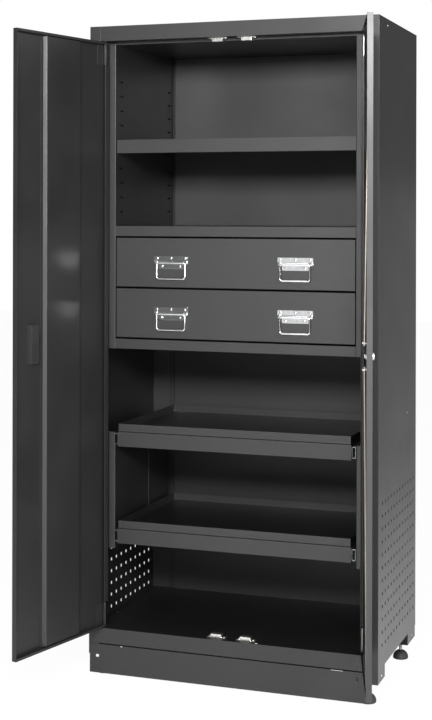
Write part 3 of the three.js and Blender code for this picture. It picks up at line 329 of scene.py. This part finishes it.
class LockerStudio(bpy.types.PropertyGroup):
    """Camera, lamps and floor."""

    eye: FloatVectorProperty(
        name="Eye", description="Place of the camera", subtype="TRANSLATION", unit="LENGTH", size=3,
        default=(1.41599, -4.00277, 1.43930))
    yaw: FloatProperty(
        name="Yaw", description="Turn of the camera about the vertical", unit="ROTATION", default=0.3233)
    roll: FloatProperty(
        name="Roll", description="Turn of the camera about its own axis", unit="ROTATION", default=0.0022)
    lens: FloatProperty(
        name="Lens", description="Focal length in millimetres", default=69.50)
    shift: FloatVectorProperty(
        name="Shift", description="Shift of the lens", size=2, default=(-0.0643, -0.2054))
    sky: FloatProperty(
        name="Surround", description="Strength of the white surround as a light", default=0.18)
    aim: FloatVectorProperty(
        name="Aim", description="Point that the lamps face", subtype="TRANSLATION", unit="LENGTH", size=3,
        default=(0.0, 0.0, 1.2))
    key_power: FloatProperty(
        name="Key", description="Power of the lamp in front, above the eye",
        unit="POWER", default=385.0)
    key_place: FloatVectorProperty(
        name="Key Place", description="Where it stands", subtype="TRANSLATION", unit="LENGTH", size=3,
        default=(1.1, -3.66, 2.35))
    key_size: FloatVectorProperty(
        name="Key Size", description="Its width and height", unit="LENGTH", size=2, default=(2.0, 0.6))
    front_power: FloatProperty(
        name="Front", description="Power of the wide soft box behind the eye",
        unit="POWER", default=21.0)
    front_place: FloatVectorProperty(
        name="Front Place", description="Where it stands", subtype="TRANSLATION", unit="LENGTH", size=3,
        default=(0.1, -5.5, 1.3))
    front_size: FloatVectorProperty(
        name="Front Size", description="Its width and height", unit="LENGTH", size=2, default=(4.0, 2.4))
    soft_box_power: FloatProperty(
        name="Soft Box", description="Power of the soft box in front, to the right",
        unit="POWER", default=85.0)
    soft_box_place: FloatVectorProperty(
        name="Soft Box Place", description="Where it stands", subtype="TRANSLATION", unit="LENGTH", size=3,
        default=(2.68, -2.41, 1.3))
    soft_box_size: FloatVectorProperty(
        name="Soft Box Size", description="Its width and height", unit="LENGTH", size=2, default=(0.7, 1.0))
    side_power: FloatProperty(
        name="Side", description="Power of the lamp behind the right wall",
        unit="POWER", default=32.0)
    side_place: FloatVectorProperty(
        name="Side Place", description="Where it stands", subtype="TRANSLATION", unit="LENGTH", size=3,
        default=(3.81, 1.77, 2.6))
    side_size: FloatVectorProperty(
        name="Side Size", description="Its width and height", unit="LENGTH", size=2, default=(1.2, 1.2))
    top_power: FloatProperty(
        name="Top", description="Power of the lamp above",
        unit="POWER", default=55.0)
    top_place: FloatVectorProperty(
        name="Top Place", description="Where it stands", subtype="TRANSLATION", unit="LENGTH", size=3,
        default=(0.2, -1.6, 4.4))
    top_size: FloatVectorProperty(
        name="Top Size", description="Its width and height", unit="LENGTH", size=2, default=(2.4, 2.4))
    rear_power: FloatProperty(
        name="Rear", description="Power of the dim soft box behind the cabinet",
        unit="POWER", default=2.1)
    rear_place: FloatVectorProperty(
        name="Rear Place", description="Where it stands", subtype="TRANSLATION", unit="LENGTH", size=3,
        default=(1.2, 4.4, 0.85))
    rear_size: FloatVectorProperty(
        name="Rear Size", description="Its width and height", unit="LENGTH", size=2, default=(2.6, 1.5))
    floor_share: FloatProperty(
        name="Floor Shade", description="How much of the floor's own shading the camera sees",
        subtype="FACTOR", min=0.0, max=1.0, default=0.03)
    floor_tone: FloatProperty(
        name="Floor Tone", description="Whiteness of the floor", subtype="FACTOR", min=0.0, max=1.0,
        default=0.85)


def settings(name):
    """One of the scene's four groups of settings."""
    return getattr(bpy.context.scene, "locker_" + name)


def new_group(name, inputs, outputs):
    """Empty shader node group with the named sockets, and its two end nodes."""
    group = bpy.data.node_groups.new(name, "ShaderNodeTree")
    for label, kind, value in inputs:
        socket = group.interface.new_socket(name=label, in_out="INPUT", socket_type=kind)
        socket.default_value = value
    for label, kind in outputs:
        group.interface.new_socket(name=label, in_out="OUTPUT", socket_type=kind)
    start = group.nodes.new("NodeGroupInput")
    end = group.nodes.new("NodeGroupOutput")
    return group, start, end


def noise(tree, coordinates, scale, detail):
    """Noise texture's value over the coordinates."""
    made = tree.nodes.new("ShaderNodeTexNoise")
    made.inputs["Scale"].default_value = scale
    made.inputs["Detail"].default_value = detail
    tree.links.new(coordinates, made.inputs["Vector"])
    return made.outputs["Fac"]


def ranged(tree, value, low, high, to_low, to_high):
    """Map a value from one range to another, whose bounds are numbers or sockets."""
    made = tree.nodes.new("ShaderNodeMapRange")
    made.inputs["From Min"].default_value = low
    made.inputs["From Max"].default_value = high
    tree.links.new(value, made.inputs["Value"])
    for label, bound in (("To Min", to_low), ("To Max", to_high)):
        if isinstance(bound, float):
            made.inputs[label].default_value = bound
        else:
            tree.links.new(bound, made.inputs[label])
    return made.outputs["Result"]


def coat_group():
    """Powder coat: a cloudy tint, a gloss that wanders, and orange peel for the relief."""
    name = "Powder Coat Grain"
    if name in bpy.data.node_groups:
        return bpy.data.node_groups[name]
    group, start, end = new_group(name, GRAIN_INPUTS, GRAIN_OUTPUTS)
    place = group.nodes.new("ShaderNodeTexCoord").outputs["Object"]
    clouds = noise(group, place, COAT_CLOUDS, COAT_CLOUD_DETAIL)
    peel = noise(group, place, COAT_PEEL, FINE_DETAIL)
    group.links.new(ranged(group, clouds, NOISE_LOW, NOISE_HIGH, *COAT_TINT), end.inputs["Tint"])
    gloss = ranged(
        group, clouds, NOISE_LOW, NOISE_HIGH, start.outputs["Low Gloss"], start.outputs["High Gloss"])
    group.links.new(gloss, end.inputs["Roughness"])
    group.links.new(peel, end.inputs["Relief"])
    return group


def plating_group():
    """Plated metal: fine marks drawn along the piece, as a tint and a roughness."""
    name = "Plating Marks"
    if name in bpy.data.node_groups:
        return bpy.data.node_groups[name]
    group, start, end = new_group(name, GRAIN_INPUTS, GRAIN_OUTPUTS)
    place = group.nodes.new("ShaderNodeTexCoord").outputs["Object"]
    stretch = group.nodes.new("ShaderNodeMapping")
    stretch.inputs["Scale"].default_value = MARK_STRETCH
    group.links.new(place, stretch.inputs["Vector"])
    marks = noise(group, stretch.outputs["Vector"], PLATING_MARKS, FINE_DETAIL)
    clouds = noise(group, place, PLATING_CLOUDS, FINE_DETAIL)
    group.links.new(ranged(group, clouds, NOISE_LOW, NOISE_HIGH, *PLATING_TINT), end.inputs["Tint"])
    gloss = ranged(
        group, marks, NOISE_LOW, NOISE_HIGH, start.outputs["Low Gloss"], start.outputs["High Gloss"])
    group.links.new(gloss, end.inputs["Roughness"])
    group.links.new(marks, end.inputs["Relief"])
    return group


def surface(name, group, color, roughness, spread, metallic, depth):
    """Material whose tint, roughness and relief come from one of the shared groups."""
    if name in bpy.data.materials:
        return bpy.data.materials[name]
    material = bpy.data.materials.new(name)
    material.use_nodes = True
    tree = material.node_tree
    shader = tree.nodes["Principled BSDF"]
    shader.inputs["Metallic"].default_value = metallic
    grain = tree.nodes.new("ShaderNodeGroup")
    grain.node_tree = group
    grain.inputs["Low Gloss"].default_value = roughness - spread
    grain.inputs["High Gloss"].default_value = roughness + spread
    tint = tree.nodes.new("ShaderNodeVectorMath")
    tint.operation = "SCALE"
    tint.inputs["Vector"].default_value = tuple(color)
    tree.links.new(grain.outputs["Tint"], tint.inputs["Scale"])
    tree.links.new(tint.outputs["Vector"], shader.inputs["Base Color"])
    tree.links.new(grain.outputs["Roughness"], shader.inputs["Roughness"])
    bump = tree.nodes.new("ShaderNodeBump")
    bump.inputs["Strength"].default_value = RELIEF_STRENGTH
    bump.inputs["Distance"].default_value = depth
    tree.links.new(grain.outputs["Relief"], bump.inputs["Height"])
    tree.links.new(bump.outputs["Normal"], shader.inputs["Normal"])
    return material


def coated(name, color):
    """Powder coat with a smoother gloss over it."""
    if name in bpy.data.materials:
        return bpy.data.materials[name]
    look = settings("finishes")
    material = surface(
        name, coat_group(), color, look.paint_roughness, COAT_SPREAD, NO_METAL, COAT_RELIEF)
    tree = material.node_tree
    shader = tree.nodes["Principled BSDF"]
    shader.inputs["Coat Weight"].default_value = look.paint_gloss
    shader.inputs["Coat Roughness"].default_value = look.gloss_roughness
    slant = tree.nodes.new("ShaderNodeLayerWeight")
    share = ranged(tree, slant.outputs["Facing"], SLANT_START, SLANT_END, 1.0, look.slant_share)
    smoother = tree.nodes.new("ShaderNodeMath")
    smoother.operation = "MULTIPLY"
    tree.links.new(shader.inputs["Roughness"].links[0].from_socket, smoother.inputs[0])
    tree.links.new(share, smoother.inputs[1])
    tree.links.new(smoother.outputs["Value"], shader.inputs["Roughness"])
    return material


def paint():
    return coated("Satin Black", settings("finishes").paint)


def shelf_paint():
    return coated("Satin Shelf", settings("finishes").shelf_paint)


def plated(name, finish, spread=PLATING_SPREAD, depth=PLATING_RELIEF):
    """Metal whose colour and roughness are the finish's settings."""
    look = settings("finishes")
    color = getattr(look, finish)
    return surface(name, plating_group(), color, getattr(look, finish + "_roughness"), spread, METAL, depth)


def zinc():
    return plated("Zinc Plate", "zinc")


def slide_plating():
    return plated("Slide Zinc", "slide")


def rod_plating():
    return plated("Yellow Zinc", "rod")


def chrome():
    return plated("Chrome Plate", "chrome", CHROME_SPREAD, CHROME_RELIEF)


def rubber():
    look = settings("finishes")
    return surface(
        "Foot Rubber", coat_group(), look.rubber, look.rubber_roughness, RUBBER_SPREAD, NO_METAL,
        COAT_RELIEF)


def plastic():
    look = settings("finishes")
    return surface(
        "Gloss Plastic", coat_group(), look.plastic, look.plastic_roughness, PLASTIC_SPREAD, NO_METAL,
        PLASTIC_RELIEF)


def put(name, bm, material, *nodes):
    """Finish a bmesh as a piece that stands for the CAD nodes and rides on their body."""
    for face in bm.faces:
        face.smooth = True
    mesh = bpy.data.meshes.new(name)
    bm.to_mesh(mesh)
    bm.free()
    mesh.set_sharp_from_angle(angle=math.radians(SMOOTH_TURN))
    mesh.materials.append(material)
    made = bpy.data.objects.new(name, mesh)
    bpy.context.scene.collection.objects.link(made)
    weigh = made.modifiers.new("Flat faces", "WEIGHTED_NORMAL")
    weigh.keep_sharp = True
    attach(made, BODY_OF[nodes[0]])
    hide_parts(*nodes)
    return made


def copy_of(node):
    """The CAD node's mesh, merged, with its level triangles joined into whole faces."""
    bm = bmesh.new()
    bm.from_mesh(frame["nodes"][node].data)
    bmesh.ops.remove_doubles(bm, verts=bm.verts[:], dist=MERGE)
    bmesh.ops.dissolve_limit(
        bm, angle_limit=math.radians(FLAT_TURN), verts=bm.verts[:], edges=bm.edges[:])
    return bm


def breadth(face):
    """Mean width of a long face."""
    return face.calc_area() / max(edge.calc_length() for edge in face.edges)


def turned(edge):
    """Whether the surface turns sharply at an edge."""
    return len(edge.link_faces) == 2 and edge.calc_face_angle(0.0) > math.radians(FOLD_TURN)


def folds(bm, convex):
    """Edges where two broad faces of a sheet meet, on the outside or the inside of the bends."""
    return [
        edge for edge in bm.edges
        if turned(edge) and edge.is_convex == convex and min(map(breadth, edge.link_faces)) > BROAD]


def rims(bm):
    """Edges of the cut faces of a sheet."""
    return [
        edge for edge in bm.edges
        if turned(edge) and edge.is_convex and min(map(breadth, edge.link_faces)) <= BROAD]


def round_off(bm, edges, radius, steps):
    """Round some edges, if there are any."""
    if edges and radius > 0:
        bmesh.ops.bevel(
            bm, geom=edges, offset=radius, offset_type="OFFSET", segments=steps, profile=ROUND_PROFILE,
            affect="EDGES", clamp_overlap=True, material=-1)


def bent(node, material, bend, trimmed=True):
    """Piece for a folded sheet: bends rounded outside and inside, and cut edges broken."""
    look = settings("sheets")
    bm = copy_of(node)
    if trimmed:
        round_off(bm, rims(bm), look.rim, RIM_STEPS)
    round_off(bm, folds(bm, True), bend, look.bend_steps)
    round_off(bm, folds(bm, False), bend * look.inner_share, look.bend_steps)
    return put(node + ".bent", bm, material, node)


def softened(node, material, radius, steps=RIM_STEPS):
    """Piece for a small solid fitting with all of its corners rounded."""
    bm = copy_of(node)
    corners = [edge for edge in bm.edges if turned(edge) and edge.is_convex]
    round_off(bm, corners, radius, steps)
    return put(node + ".soft", bm, material, node)


def ring(bm, radius, place, turn, sides):
    """Open circle of edges, turned and placed."""
    made = bmesh.ops.create_circle(
        bm, cap_ends=False, radius=radius, segments=sides, matrix=Matrix.Translation(place) @ turn)
    return list({edge for vert in made["verts"] for edge in vert.link_edges})


def run_on(bm, edges, offset):
    """Draw a ring of edges along a straight, and return the ring at its far end."""
    made = bmesh.ops.extrude_edge_only(bm, edges=edges)["geom"]
    verts = [item for item in made if isinstance(item, bmesh.types.BMVert)]
    bmesh.ops.translate(bm, verts=verts, vec=offset)
    ends = set(verts)
    return [
        item for item in made
        if isinstance(item, bmesh.types.BMEdge) and ends.issuperset(item.verts)]


def sweep(bm, edges, centre, axis, angle, steps):
    """Draw a ring of edges round a bend, and return the ring at its far end."""
    made = bmesh.ops.spin(
        bm, geom=edges, cent=centre, axis=axis, angle=angle, steps=steps, use_duplicate=False)
    return [item for item in made["geom_last"] if isinstance(item, bmesh.types.BMEdge)]


def turned_solid(bm, profile, place, steps):
    """Spin a line of (radius, height) points all the way round the vertical through a place."""
    verts = [bm.verts.new(Vector((place.x + r, place.y, place.z + h))) for r, h in profile]
    edges = [bm.edges.new(pair) for pair in zip(verts, verts[1:])]
    bmesh.ops.spin(
        bm, geom=verts + edges, cent=place, axis=(0, 0, 1), angle=2 * math.pi, steps=steps,
        use_merge=True, use_duplicate=False)
    bmesh.ops.remove_doubles(bm, verts=bm.verts[:], dist=MERGE)


def dome(bm, place, radii, mesh):
    """Ball stretched to three radii, for a head that stands half out of a face."""
    around, over = mesh
    stretch = place @ Matrix.Diagonal((*radii, 1))
    bmesh.ops.create_uvsphere(bm, u_segments=around, v_segments=over, radius=1, matrix=stretch)


def screws(name, node, places, turn):
    """Screw heads that ride on the body of a node, at places in mm from CABINET, facing the turned Z."""
    size = settings("fittings")
    radii = (size.screw_radius, size.screw_radius, size.screw_height)
    bm = bmesh.new()
    for place in places:
        dome(bm, Matrix.Translation(Vector(place) * MM + CABINET) @ turn, radii, SCREW_MESH)
    made = put(name, bm, zinc(), node)
    return made


class LOCKER_OT_carcass(bpy.types.Operator):
    """Bend the walls, back, top, floor and kick plate, and set the small screws"""

    bl_idname = "locker.carcass"
    bl_label = "Carcass"

    def execute(self, context):
        bend = settings("sheets").carcass_bend
        for side in SIDES:
            bent(side + "_side_panel", paint(), bend, trimmed=False)
        for node in ("top_panel", "floor_panel", "kick_plate", "back_panel"):
            bent(node, paint(), bend)
        outward = Matrix.Rotation(math.pi / 2, 4, "Y")
        screws("right_side_panel.screws", "right_side_panel", WALL_SCREWS, outward)
        screws("floor_panel.screw", "floor_panel", FLOOR_SCREWS, Matrix.Identity(4))
        self.kick_tab()
        return {"FINISHED"}

    def kick_tab(self):
        """Tab that stands on the leg plate, behind the right slot of the kick plate."""
        bm = bmesh.new()
        place = Matrix.Translation(Vector(KICK_TAB) * MM + CABINET)
        stretch = Matrix.Diagonal((*(length * MM for length in KICK_TAB_SIZE), 1))
        bmesh.ops.create_cube(bm, size=1, matrix=place @ stretch)
        put("kick_plate.tab", bm, paint(), "kick_plate")


class LOCKER_OT_doors(bpy.types.Operator):
    """Bend the door pans and stiffeners, and set the pull in the left door"""

    bl_idname = "locker.doors"
    bl_label = "Doors"

    def execute(self, context):
        look = settings("sheets")
        for side in SIDES:
            bent(side + "_door_pan", paint(), look.door_bend)
            bent(side + "_door_stiffener", paint(), look.hat_bend)
        softened("left_pull_cup", plastic(), settings("fittings").pull_rim, CASE_STEPS)
        return {"FINISHED"}


class LOCKER_OT_inside(bpy.types.Operator):
    """Bend the liners, shelves and tray supports"""

    bl_idname = "locker.inside"
    bl_label = "Inside"

    def execute(self, context):
        bend = settings("sheets").shelf_bend
        for side in SIDES:
            bent(side + "_liner", shelf_paint(), bend)
            bent(side + "_tray_support", shelf_paint(), bend)
        for node in ("adjustable_shelf", "drawer_shelf", "drawer_base"):
            bent(node, shelf_paint(), bend)
        return {"FINISHED"}


def handle_plate(node, axis):
    """Plate of a drop handle: wide band, narrower tongue, rolled channel and five rivets."""
    size = settings("fittings")
    low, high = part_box(node)
    middle = (low.x + high.x) / 2
    wide = (high.x - low.x) / 2
    narrow = size.plate_tongue / 2
    band = high.z - size.plate_band
    foot = high.z - size.plate_height
    face_y = high.y - size.plate_sheet
    bm = bmesh.new()
    outline = (
        (-wide, high.z), (-wide, band), (-narrow, band), (-narrow, foot),
        (narrow, foot), (narrow, band), (wide, band), (wide, high.z))
    verts = [bm.verts.new((middle + x, high.y, z)) for x, z in outline]
    plate = bm.faces.new(verts)
    grown = bmesh.ops.extrude_face_region(bm, geom=[plate])["geom"]
    front = [item for item in grown if isinstance(item, bmesh.types.BMVert)]
    bmesh.ops.translate(bm, verts=front, vec=(0, -size.plate_sheet, 0))
    bmesh.ops.recalc_face_normals(bm, faces=bm.faces[:])
    corners = [edge for edge in bm.edges if abs(edge.verts[0].co.y - edge.verts[1].co.y) > MERGE]
    round_off(bm, corners, size.plate_corner, CORNER_STEPS)
    front_rim = [
        edge for edge in bm.edges
        if turned(edge) and all(vert.co.y < high.y - MERGE for vert in edge.verts)]
    round_off(bm, front_rim, size.plate_rim, RIM_STEPS)
    across = Matrix.Rotation(math.pi / 2, 4, "Y")
    start = Vector((middle - size.roll_length / 2, axis.y, axis.z))
    outer = ring(bm, size.roll_radius, start, across, ROLL_SIDES)
    bore = ring(bm, size.roll_bore, start, across, ROLL_SIDES)
    along = Vector((size.roll_length, 0, 0))
    outer_end = run_on(bm, outer, along)
    bore_end = run_on(bm, bore, along)
    bmesh.ops.bridge_loops(bm, edges=outer + bore)
    bmesh.ops.bridge_loops(bm, edges=outer_end + bore_end)
    upper = high.z - size.plate_band / 2 + size.rivet_lift
    lower = foot + size.tongue_rise
    rivets = (
        (-size.rivet_spread, upper), (0, upper), (size.rivet_spread, upper),
        (-size.tongue_spread, lower), (size.tongue_spread, lower))
    head = (size.rivet_radius, size.rivet_height, size.rivet_radius)
    for x, z in rivets:
        dome(bm, Matrix.Translation((middle + x, face_y, z)), head, RIVET_MESH)
    swell = (size.swell_radius, size.swell_height, size.swell_radius)
    for x in (-size.swell_spread, size.swell_spread):
        dome(bm, Matrix.Translation((middle + x, face_y, axis.z + size.swell_rise)), swell, SWELL_MESH)
    bmesh.ops.recalc_face_normals(bm, faces=bm.faces[:])
    return put(node + ".riveted", bm, chrome(), node)


def bail(node, axis):
    """Wire bail of a drop handle, drawn from one end to the middle and mirrored."""
    size = settings("fittings")
    low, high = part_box(node)
    middle = (low.x + high.x) / 2
    reach = size.bail_width / 2 - size.bail_radius
    bend = size.bail_bend
    drop = size.bail_drop - size.bail_radius
    across = Matrix.Rotation(math.pi / 2, 4, "Y")
    bm = bmesh.new()
    start = Vector((middle + reach - size.bail_pin, axis.y, axis.z))
    edges = ring(bm, size.bail_radius, start, across, WIRE_SIDES)
    bmesh.ops.contextual_create(bm, geom=edges)
    edges = run_on(bm, edges, Vector((size.bail_pin - bend, 0, 0)))
    centre = Vector((middle + reach - bend, axis.y, axis.z - bend))
    edges = sweep(bm, edges, centre, (0, 1, 0), math.pi / 2, WIRE_STEPS)
    edges = run_on(bm, edges, Vector((0, 0, -(drop - 2 * bend))))
    centre = Vector((middle + reach - bend, axis.y, axis.z - drop + bend))
    edges = sweep(bm, edges, centre, (0, 1, 0), math.pi / 2, WIRE_STEPS)
    run_on(bm, edges, Vector((-(reach - bend), 0, 0)))
    bmesh.ops.mirror(
        bm, geom=bm.verts[:] + bm.edges[:] + bm.faces[:], axis="X", merge_dist=MIRROR_MERGE,
        matrix=Matrix.Translation((-middle, 0, 0)))
    bmesh.ops.recalc_face_normals(bm, faces=bm.faces[:])
    return put(node + ".wire", bm, chrome(), node)


class LOCKER_OT_drawers(bpy.types.Operator):
    """Bend the drawers and fit their riveted drop handles"""

    bl_idname = "locker.drawers"
    bl_label = "Drawers"

    def execute(self, context):
        for level, short in zip(LEVELS, ("low", "high")):
            bent(level + "_drawer", shelf_paint(), settings("sheets").shelf_bend)
            for side in SIDES:
                axis = Vector(JOINTS["bail_" + short + "_" + side + "_swing"]["pos_m"])
                handle_plate(level + "_" + side + "_handle_plate", axis)
                bail(level + "_" + side + "_bail", axis)
        return {"FINISHED"}


class LOCKER_OT_trays(bpy.types.Operator):
    """Bend the trays and their carrier frames, and plate the slides"""

    bl_idname = "locker.trays"
    bl_label = "Trays"

    def execute(self, context):
        bend = settings("sheets").shelf_bend
        for level in LEVELS:
            bent(level + "_tray_pan", shelf_paint(), bend)
            bent(level + "_tray_frame", shelf_paint(), bend)
            for side in SIDES:
                for part in ("channel", "runner"):
                    node = level + "_" + side + "_slide_" + part
                    bent(node, slide_plating(), settings("sheets").slide_bend, trimmed=False)
        return {"FINISHED"}


class LOCKER_OT_hardware(bpy.types.Operator):
    """Paint the hinge leaves, and plate their knuckles and the catches"""

    bl_idname = "locker.hardware"
    bl_label = "Hardware"

    def execute(self, context):
        size = settings("fittings")
        for level in LEVELS:
            for side in SIDES:
                axis = Vector(JOINTS[side + "_door_hinge"]["pos_m"])
                for leaf in ("frame", "door"):
                    node = level + "_" + side + "_hinge_" + leaf + "_leaf"
                    self.hinge(softened(node, paint(), size.hinge_rim), axis, size.knuckle_reach)
                softened(level + "_" + side + "_catch", zinc(), size.catch_rim)
        return {"FINISHED"}

    def hinge(self, leaf, axis, reach):
        """Plate the knuckles, which lie round the pin, and leave the leaf painted."""
        leaf.data.materials.append(slide_plating())
        for face in leaf.data.polygons:
            if (face.center - axis).xy.length < reach:
                face.material_index = 1


class LOCKER_OT_lock(bpy.types.Operator):
    """Plate the lock case, its cam and the rods"""

    bl_idname = "locker.lock"
    bl_label = "Lock"

    def execute(self, context):
        size = settings("fittings")
        softened("lock_housing", zinc(), size.lock_rim, CASE_STEPS)
        softened("lock_cam", zinc(), size.cam_rim)
        for node in ("upper_lock_rod", "lower_lock_rod"):
            softened(node, rod_plating(), size.rod_rim)
        return {"FINISHED"}


class LOCKER_OT_feet(bpy.types.Operator):
    """Turn the rubber feet, and cut their threaded studs and nuts"""

    bl_idname = "locker.feet"
    bl_label = "Feet"

    def execute(self, context):
        size = settings("fittings")
        for row in ("front", "rear"):
            for side in SIDES:
                node = row + "_" + side + "_foot"
                low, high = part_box(node)
                place = Vector(((low.x + high.x) / 2, (low.y + high.y) / 2, low.z))
                self.pad(node, place, size)
                self.stud(node, place, high.z, size)
        return {"FINISHED"}

    def pad(self, node, place, size):
        """Domed rubber with a small round at the ground."""
        rise = size.foot_height - size.foot_rim
        span = size.foot_radius
        profile = [(0, 0), (span - size.foot_round, 0), (span, size.foot_round)]
        for step in range(FOOT_STEPS + 1):
            turn = step / FOOT_STEPS * math.pi / 2
            profile.append((span * math.cos(turn), size.foot_rim + rise * math.sin(turn)))
        bm = bmesh.new()
        turned_solid(bm, profile, place, FOOT_SIDES)
        bmesh.ops.recalc_face_normals(bm, faces=bm.faces[:])
        put(node + ".rubber", bm, rubber(), node)

    def stud(self, node, place, top, size):
        """Thread as a stack of rings, with the nut round it."""
        root = size.stud_radius - size.thread_share * size.thread_pitch
        z = size.foot_height - size.stud_sink
        profile = [(0, z)]
        while z < top - place.z - size.thread_pitch:
            profile.append((root, z))
            profile.append((size.stud_radius, z + size.thread_pitch / 2))
            z += size.thread_pitch
        profile += [(root, z), (0, top - place.z)]
        bm = bmesh.new()
        turned_solid(bm, profile, place, STUD_SIDES)
        nut = Matrix.Translation((place.x, place.y, size.nut_top - size.nut_height / 2))
        corner = size.nut_width / math.sqrt(3)
        made = bmesh.ops.create_cone(
            bm, cap_ends=True, segments=NUT_SIDES, radius1=corner, radius2=corner, depth=size.nut_height,
            matrix=nut)
        edges = list({edge for vert in made["verts"] for edge in vert.link_edges})
        round_off(bm, edges, size.nut_rim, RIM_STEPS)
        bmesh.ops.recalc_face_normals(bm, faces=bm.faces[:])
        stud = put(node + ".stud", bm, zinc(), node)


def flat_shader(tree, color, strength):
    """Plain light of one colour."""
    made = tree.nodes.new("ShaderNodeEmission")
    made.inputs["Color"].default_value = color
    made.inputs["Strength"].default_value = strength
    return made.outputs["Emission"]


class LOCKER_OT_stage(bpy.types.Operator):
    """Set the white floor, the lamps, the surround and the camera"""

    bl_idname = "locker.stage"
    bl_label = "Studio"

    def execute(self, context):
        look = settings("studio")
        self.floor(look)
        self.surround(look)
        for name in LAMPS:
            self.lamp(look, name)
        self.camera(context, look)
        return {"FINISHED"}

    def floor(self, look):
        """White floor, of whose own shading the camera sees a small share."""
        bm = bmesh.new()
        bmesh.ops.create_grid(bm, x_segments=1, y_segments=1, size=FLOOR_HALF)
        mesh = bpy.data.meshes.new("floor")
        bm.to_mesh(mesh)
        bm.free()
        floor = bpy.data.objects.new("floor", mesh)
        bpy.context.scene.collection.objects.link(floor)
        material = bpy.data.materials.new("floor")
        material.use_nodes = True
        tree = material.node_tree
        shader = tree.nodes["Principled BSDF"]
        tone = look.floor_tone
        shader.inputs["Base Color"].default_value = (tone, tone, tone, 1)
        shader.inputs["Roughness"].default_value = FLOOR_ROUGHNESS
        rays = tree.nodes.new("ShaderNodeLightPath")
        seen = ranged(tree, rays.outputs["Is Camera Ray"], 0.0, 1.0, 0.0, 1.0 - look.floor_share)
        mix = tree.nodes.new("ShaderNodeMixShader")
        tree.links.new(seen, mix.inputs["Fac"])
        tree.links.new(shader.outputs["BSDF"], mix.inputs[1])
        tree.links.new(flat_shader(tree, WHITE, 1.0), mix.inputs[2])
        tree.links.new(mix.outputs["Shader"], tree.nodes["Material Output"].inputs["Surface"])
        mesh.materials.append(material)

    def surround(self, look):
        """World that the camera sees as white and that lights the part dimly."""
        world = bpy.data.worlds.new("surround")
        world.use_nodes = True
        tree = world.node_tree
        background = tree.nodes["Background"]
        background.inputs["Color"].default_value = WHITE
        rays = tree.nodes.new("ShaderNodeLightPath")
        strength = ranged(tree, rays.outputs["Is Camera Ray"], 0.0, 1.0, look.sky, 1.0)
        tree.links.new(strength, background.inputs["Strength"])
        bpy.context.scene.world = world

    def lamp(self, look, name):
        """Area lamp with the power, place and size of its settings, turned to the aim."""
        light = bpy.data.lights.new(name, "AREA")
        light.shape = "RECTANGLE"
        light.size, light.size_y = getattr(look, name + "_size")
        light.energy = getattr(look, name + "_power")
        place = Vector(getattr(look, name + "_place"))
        lamp = bpy.data.objects.new(name, light)
        lamp.location = place
        lamp.rotation_euler = (Vector(look.aim) - place).to_track_quat("-Z", "Y").to_euler()
        bpy.context.scene.collection.objects.link(lamp)

    def camera(self, context, look):
        """Level camera with a shifted lens, as in the photo."""
        lens = bpy.data.cameras.new("camera")
        lens.sensor_fit = "VERTICAL"
        lens.sensor_height = SENSOR
        lens.sensor_width = SENSOR
        lens.lens = look.lens
        lens.shift_x, lens.shift_y = look.shift
        camera = bpy.data.objects.new("camera", lens)
        turn = Matrix.Rotation(look.yaw, 4, "Z") @ Matrix.Rotation(math.pi / 2, 4, "X")
        camera.matrix_world = Matrix.Translation(look.eye) @ turn @ Matrix.Rotation(look.roll, 4, "Z")
        context.scene.collection.objects.link(camera)
        context.scene.camera = camera
        context.scene.view_settings.view_transform = "Standard"


class LOCKER_PT_panel(bpy.types.Panel):
    """Sizes, colours and steps of the locker"""

    bl_idname = "LOCKER_PT_panel"
    bl_label = "Tool Locker"
    bl_space_type = "VIEW_3D"
    bl_region_type = "UI"
    bl_category = "Locker"

    def draw(self, context):
        for name, group in GROUPS.items():
            box = self.layout.box()
            box.label(text=group.__doc__)
            for prop in group.__annotations__:
                box.prop(getattr(context.scene, "locker_" + name), prop)
        for step in STEPS:
            self.layout.operator(step.bl_idname)


GROUPS = {
    "finishes": LockerFinishes,
    "sheets": LockerSheets,
    "fittings": LockerFittings,
    "studio": LockerStudio,
}
STEPS = (
    LOCKER_OT_carcass, LOCKER_OT_doors, LOCKER_OT_inside, LOCKER_OT_drawers, LOCKER_OT_trays,
    LOCKER_OT_hardware, LOCKER_OT_lock, LOCKER_OT_feet, LOCKER_OT_stage)


def register():
    for name, group in GROUPS.items():
        bpy.utils.register_class(group)
        setattr(bpy.types.Scene, "locker_" + name, PointerProperty(type=group))
    for step in STEPS:
        bpy.utils.register_class(step)
    bpy.utils.register_class(LOCKER_PT_panel)


def unregister():
    bpy.utils.unregister_class(LOCKER_PT_panel)
    for step in reversed(STEPS):
        bpy.utils.unregister_class(step)
    for name, group in reversed(GROUPS.items()):
        delattr(bpy.types.Scene, "locker_" + name)
        bpy.utils.unregister_class(group)


def main():
    register()
    bpy.ops.locker.carcass()
    bpy.ops.locker.doors()
    bpy.ops.locker.inside()
    bpy.ops.locker.drawers()
    bpy.ops.locker.trays()
    bpy.ops.locker.hardware()
    bpy.ops.locker.lock()
    bpy.ops.locker.feet()
    bpy.ops.locker.stage()


if __name__ == "__main__":
    main()
